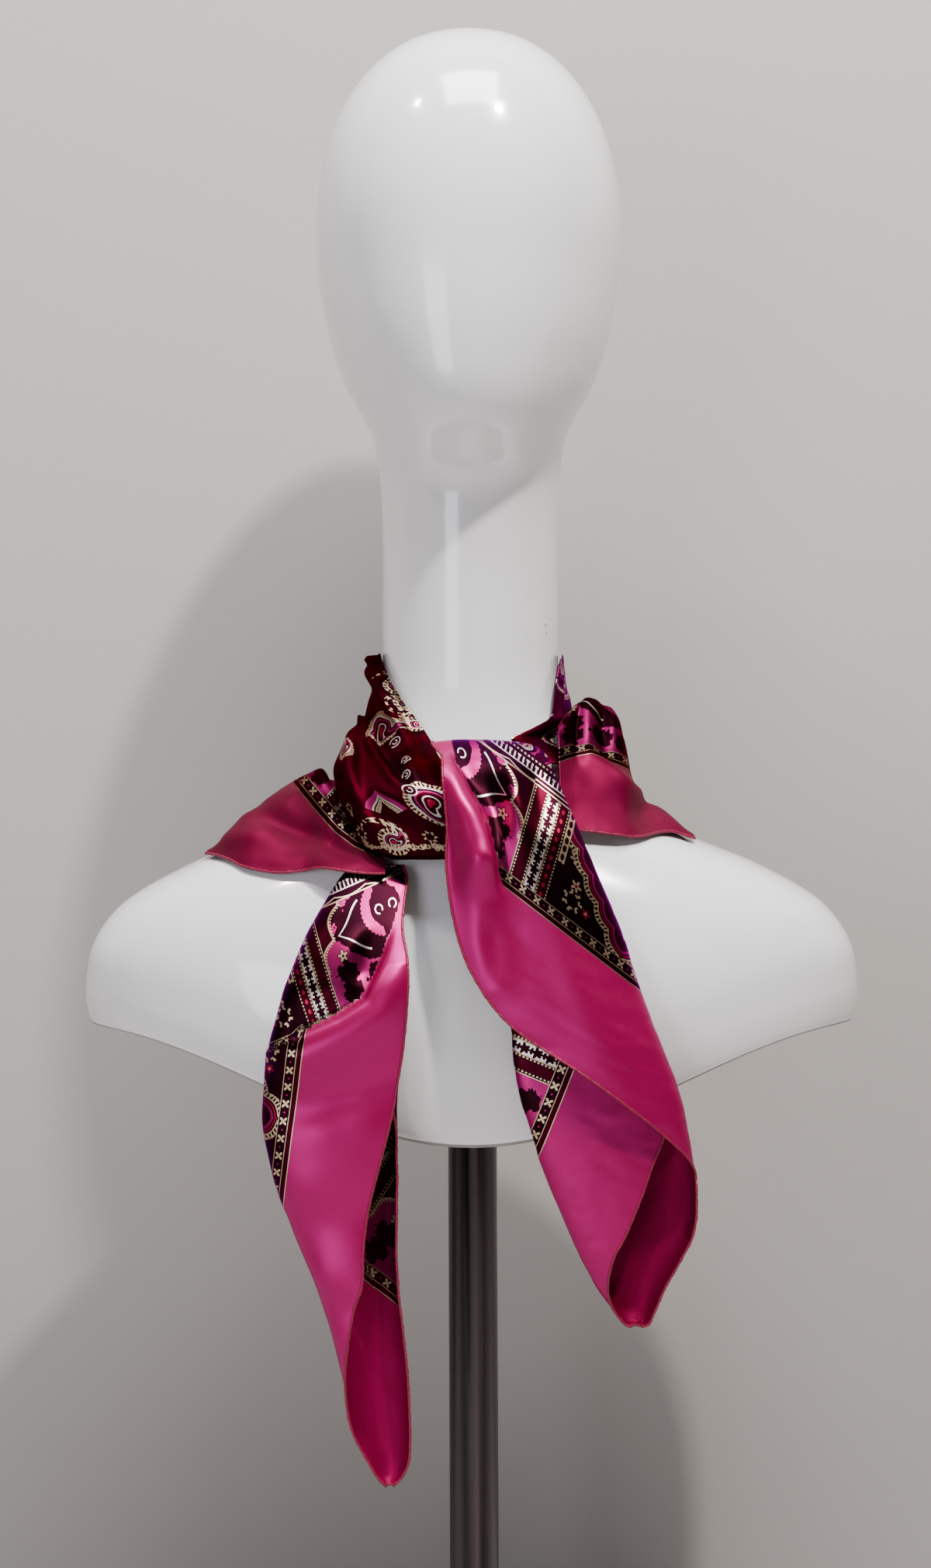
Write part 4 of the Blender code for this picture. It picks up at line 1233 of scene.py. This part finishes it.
# What is printed on the wrap, from the burgundy middle of the square: x, z, size in millimetres, turn
WRAP_PAISLEYS = (
    (-45.2, 537.5, 11, 1.9),
    (-19, 501, 9, 2.6),
    (-40, 560, 3.4, 1.2),
    (-64, 527, 5, 0.4),
    (-27, 540, 3.4, 1.8),
    (-34.5, 551, 2.4, 0.4),
    (-38, 482.5, 4.4, 0.9),
)
WRAP_SPRIGS = (
    (-53.8, 486, 2.8),
    (-60, 498.5, 2),
    (-20, 485, 2.4),
    (-33, 545, 1.6),
)
# The curls of the large paisley, and its plum grounds laid along the hollows of the folds, which are
# print and painted shade at once: x, z, radius in millimetres
WRAP_CURLS = (
    (-38, 531, 3.6),
    (-32.5, 522.5, 2.8),
    (-31.5, 515, 2.8),
    (-30, 507.5, 3.4),
)
WRAP_PLUM_GROUNDS_AND_SHADE = (
    (-40.5, 560, 9),
    (-33.5, 549, 10),
    (-27, 538, 10),
    (-21, 527, 10),
    (-36, 521, 11),
    (-28, 511, 8),
    (-64, 530, 10),
    (-66.5, 517, 8.5),
    (-65.5, 504, 8),
    (-59, 492, 6),
)
WRAP_OGEE = (-39, 494.5, 8.5)
WRAP_CORAL_Z = 479


def wrap_print(grid, flat):
    """The wrap's own print, with plum grounds that are also painted shade in its fold hollows: motifs at
    places seen from the front.
    """
    def build(tree):
        hem, along, place, lumps = flat_place(tree)

        def from_motif(x, z):
            """How far a place is from a motif's middle, off the hem and along it."""
            away = (grid[:, :, 0] - x / 1000) ** 2 + (grid[:, :, 2] - z / 1000) ** 2
            at_hem, at_along = flat[np.unravel_index(np.argmin(away), away.shape)] * 1000
            return hem - float(at_hem), along - float(at_along)

        shade = color_wire(tree, BURGUNDY)
        # Plum grounds in the hollows of the folds: print, and painted shade as well.
        for x, z, size in WRAP_PLUM_GROUNDS_AND_SHADE:
            shade = paint(shade, polar(*from_motif(x, z))[0] + lumps * 7.0 < size, PLUM)
        for x, z, size, turn in WRAP_PAISLEYS:
            u, v = from_motif(x, z)
            c, s = math.cos(turn), math.sin(turn)
            shade = paint_paisley(shade, u * c + v * s, v * c - u * s, size, 0.9)
        for x, z, size in WRAP_CURLS:
            radius, turn = polar(*from_motif(x, z))
            shade = layers(
                shade,
                (radius < size, MAROON),
                ((abs(radius - size) < 0.36) & (turn < 2.2), WHITE),
                ((abs(radius - size * 0.4) < 0.32) & (turn > -1.6), WHITE),
            )
        for x, z, size in WRAP_SPRIGS:
            shade = paint_sprig(shade, *from_motif(x, z), size)
        u, v = from_motif(*WRAP_OGEE[:2])
        radius, turn = polar(v * -1.0, u)
        reach = (abs(turn) * -4.6).math("EXPONENT") * 4.5 + WRAP_OGEE[2]
        shade = layers(
            shade,
            ((radius - reach).between(0.4, 3.6), BLOSSOM_PINK),
            (abs(radius - reach) < 0.45, WHITE),
            (comb(reach - radius - 1.2, turn * 9.0, 2.4, 1.6), CREAM),
            within=abs(turn) < 1.2,
        )
        below = from_motif(WRAP_OGEE[0], WRAP_CORAL_Z)[1] * -1.0
        return paint(shade, comb(below + lumps * 5.0, hem, 2.2), CREAM), place, hem < 0.0
    return build


grid = bowed_sheet(KNOT_LEVELS, KNOT_CREASES, 14, 150, -1, WRAP_FOLDS)
flat = laid_flat(grid, (0.235, 0.290))
# The wrap's satin is darkened to 0.78 as painted shade.
wrap_satin = satin("satin_of_the_wrap", wrap_print(grid, flat), 0.78, 0.08, 0.55, tint=CRIMSON_TINT)
knot = cloth_piece("wrap", grid, flat, True, wrap_satin)
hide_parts("scarf_knot")
grid = bowed_sheet(COLLAR_RIGHT_LEVELS, COLLAR_CREASES, 14, 60, -1)
collar = cloth_piece("collar_right", grid, laid_flat(grid, (0.250, 0.360)), True)
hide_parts("scarf_collar_right")


# ---------------------------------------------------------------- corners on the shoulders
# Two corners of the square lie out on the shoulders. Each is a section at every x, from its hem up over
# a ridge and down behind it, as in the CAD solids.
# x, hem_y, hem_z, ridge_y, ridge_z, back_y, back_z, belly
SHOULDER_LEFT_SECTIONS = metres((
    (-136.2, -24.5, 475.2, -18, 476.5, -12, 476.8, 0.2),
    (-130, -37, 474.8, -18, 480.5, -1, 479, 2),
    (-121.8, -51, 472.8, -16, 490, 9, 485, 4),
    (-111.8, -64, 469, -16, 499, 15, 489, 5),
    (-96.2, -73.5, 466.8, -16, 509, 21, 496, 5),
    (-83.4, -78, 467.8, -18, 516, 24, 504, 4),
    (-76, -83, 469.2, -24, 517.5, 16, 510, 3),
    (-70, -88, 469.2, -44, 506, -25, 512, 1),
    (-62, -92, 468, -60, 493, -50, 500, 0.5),
    (-52, -94.5, 466.8, -80, 480, -74.5, 487, 0),
    (-42, -98.5, 466.8, -91.5, 471.2, -89.5, 472.8, 0),
))
SHOULDER_RIGHT_SECTIONS = metres((
    (44, -76, 488, -52, 533, -43, 539, 1),
    (50, -74, 487.5, -38, 543, -22, 547, 2),
    (57.5, -72, 486.5, -22, 553.5, 4, 546, 3),
    (69.2, -69, 485, -12, 552, 22, 532, 3),
    (76, -66, 484, -12, 545, 23, 523, 3),
    (79.6, -63.5, 483.5, -12, 532, 24, 515, 3),
    (85.7, -58, 483.5, -14, 504, 20, 501, 2),
    (96.1, -45, 485.5, -16, 495, 8, 494.5, 1),
    (104.4, -38, 485, -22, 489.5, -6, 490.5, 0.5),
    (114, -35, 481.8, -29, 482.8, -23, 483.8, 0.1),
))
SHOULDER_LEFT_CREASES = metres((
    (-106, 496, -64, 478, -7.5, 6, 5.5),
    (-112, 472, -56, 470, 3.2, 3.4, 4),
    (-86, 508, -56, 480, 2.6, 5, 4),
    (-78, 512, -60, 496, -2.2, 3.4, 3.4),
    (-124, 482, -102, 486, 1.6, 5, 5),
))
SHOULDER_RIGHT_CREASES = metres((
    (56, 556, 54, 524, -4.6, 2.6, 3),
    (69, 554, 68, 526, -3.4, 2.6, 3),
    (60, 525.4, 86, 504, 4, 7, 2.2),
    (86, 504, 112, 480, 3, 7, 2.4),
    (56, 498, 90, 492, -2, 6, 6),
    (50, 510, 76, 506, 1.2, 6, 6),
))


def shoulder_sheet(sections, creases, steps, count):
    rows = []
    for x, hem_y, hem_z, ridge_y, ridge_z, back_y, back_z, belly in smooth_rows(sections, steps):
        middle = (0.5 * (hem_y + ridge_y) - belly, 0.5 * (hem_z + ridge_z) + belly)
        path = smooth_rows(((hem_y, hem_z), middle, (ridge_y, ridge_z), (back_y, back_z)), 12)
        rows.append(np.column_stack([np.full(count, x), even_steps(path, count)]))
    grid = np.array(rows)
    free = np.broadcast_to(np.sin(np.linspace(0, math.pi, count)), grid.shape[:2])
    return wrinkled(creased(grid, free, creases, 1), 14, 0.0003, 1)


# The corners' satin is darkened to 0.36 as painted shade.
corner_satin = satin("satin_of_the_corners", square_print, 0.36, 0.12, 0.48, tint=CRIMSON_TINT)

# On the left corner the band of stars runs down across it, about 52 mm from the tip.
LEFT_STARS = metres(((-91.1, 511), (-77.4, 496.5), (-67.8, 486.5), (-58, 479.5), (-47, 475)))
grid = shoulder_sheet(SHOULDER_LEFT_SECTIONS, SHOULDER_LEFT_CREASES, 12, 90)
x, z = grid[:, :, 0], grid[:, :, 2]
hem = 0.050 + 1.10 * fold_distance(x, z, LEFT_STARS)[0]
along = 0.185 + 0.85 * (x - LEFT_STARS[0][0]) - 0.70 * (z - LEFT_STARS[0][1])
flat = np.stack([np.maximum(hem, 0.004), along], axis=-1)
shoulder_left = cloth_piece("corner_left", grid, flat, True, corner_satin)
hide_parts("scarf_shoulder_left")
hem_front = rolled_hem("corner_left_hem", grid[:, 0])

# On the right corner the band lies along the hem, 50 mm up from it, and bends over the ridge.
HEM_TO_RIDGE = 60
RIGHT_STARS = metres(((42.4, 520), (51.9, 523.1), (59.8, 525), (70.7, 520.7), (80.5, 516.7),
                      (90, 512), (114, 500)))
grid = shoulder_sheet(SHOULDER_RIGHT_SECTIONS, SHOULDER_RIGHT_CREASES, 12, 90)
x, z = grid[:, :, 0], grid[:, :, 2]
stars_z = np.interp(x, *RIGHT_STARS.T)
past = lengths_along(grid, 1)
hem = np.empty_like(z)
for row in range(len(z)):
    at_stars = np.interp(stars_z[row, 0], z[row, :HEM_TO_RIDGE], past[row, :HEM_TO_RIDGE])
    hem[row] = np.where(past[row] < at_stars, 0.050 * past[row] / at_stars, 0.050 + past[row] - at_stars)
flat = np.stack([hem, 0.125 + (0.114 - x) * 1.1], axis=-1)
shoulder_right = cloth_piece("corner_right", grid, flat, True, corner_satin)
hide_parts("scarf_shoulder_right")
hem_front = rolled_hem("corner_right_hem", grid[:, 0])


# ---------------------------------------------------------------- nape
# Round the nape the cloth stands up as a soft roll and falls on the back of the bust. The photograph
# doesn't show it, so it is finished plainly, with a few uneven pleats round it.
NAPE_FIRST_LEVEL = 11
NAPE_LAST_LEVEL = 14
NAPE_END_TURN = math.radians(17)
NAPE_CLEARANCE = 0.0035
NAPE_ROLL_RISE = 0.0130
NAPE_ROLL_WIDTH = 0.0100
NAPE_PLEATS = 4
NAPE_PLEAT_DEPTH = 0.0012


def nape_sheet(count_round, steps, roll_steps):
    levels = smooth_rows(BUST_LEVELS[NAPE_FIRST_LEVEL:NAPE_LAST_LEVEL + 1], steps)
    rows = []
    for share in np.linspace(0, 1, count_round):
        turn = NAPE_END_TURN + (math.pi - 2 * NAPE_END_TURN) * share
        fullness = 0.35 + 0.65 * math.sin(math.pi * share)
        out = np.array((math.cos(turn), math.sin(turn), 0.0))
        top = np.array(cape_point(levels[0], turn)) + out * 0.6 * NAPE_CLEARANCE
        roll = NAPE_ROLL_WIDTH * fullness
        rise = NAPE_ROLL_RISE * (0.35 + 0.65 * fullness)
        row = []
        for angle in np.linspace(0, math.pi, roll_steps)[:-1]:
            row.append(top + out * roll * (1 - math.cos(angle)) / 2 + (0, 0, rise * math.sin(angle)))
        for step, level in enumerate(levels):
            down = step / (len(levels) - 1)
            drift = 0.35 * math.sin(7 * share + 3 * down)
            pleat = NAPE_PLEAT_DEPTH * math.sin(2 * math.pi * NAPE_PLEATS * down + drift) * fullness
            puff = NAPE_CLEARANCE + (roll - 0.6 * NAPE_CLEARANCE) * (1 - down) ** 2 + pleat
            puff = max(puff, NAPE_CLEARANCE * (0.6 + 0.4 * down))
            row.append(np.array(cape_point(level, turn)) + out * puff)
        rows.append(row)
    return np.array(rows)


grid = nape_sheet(180, 16, 16)
flat = laid_flat(grid.transpose(1, 0, 2), (0.26, 0.24)).transpose(1, 0, 2)
nape = cloth_piece("nape", grid, flat, True)
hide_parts("scarf_collar_back")
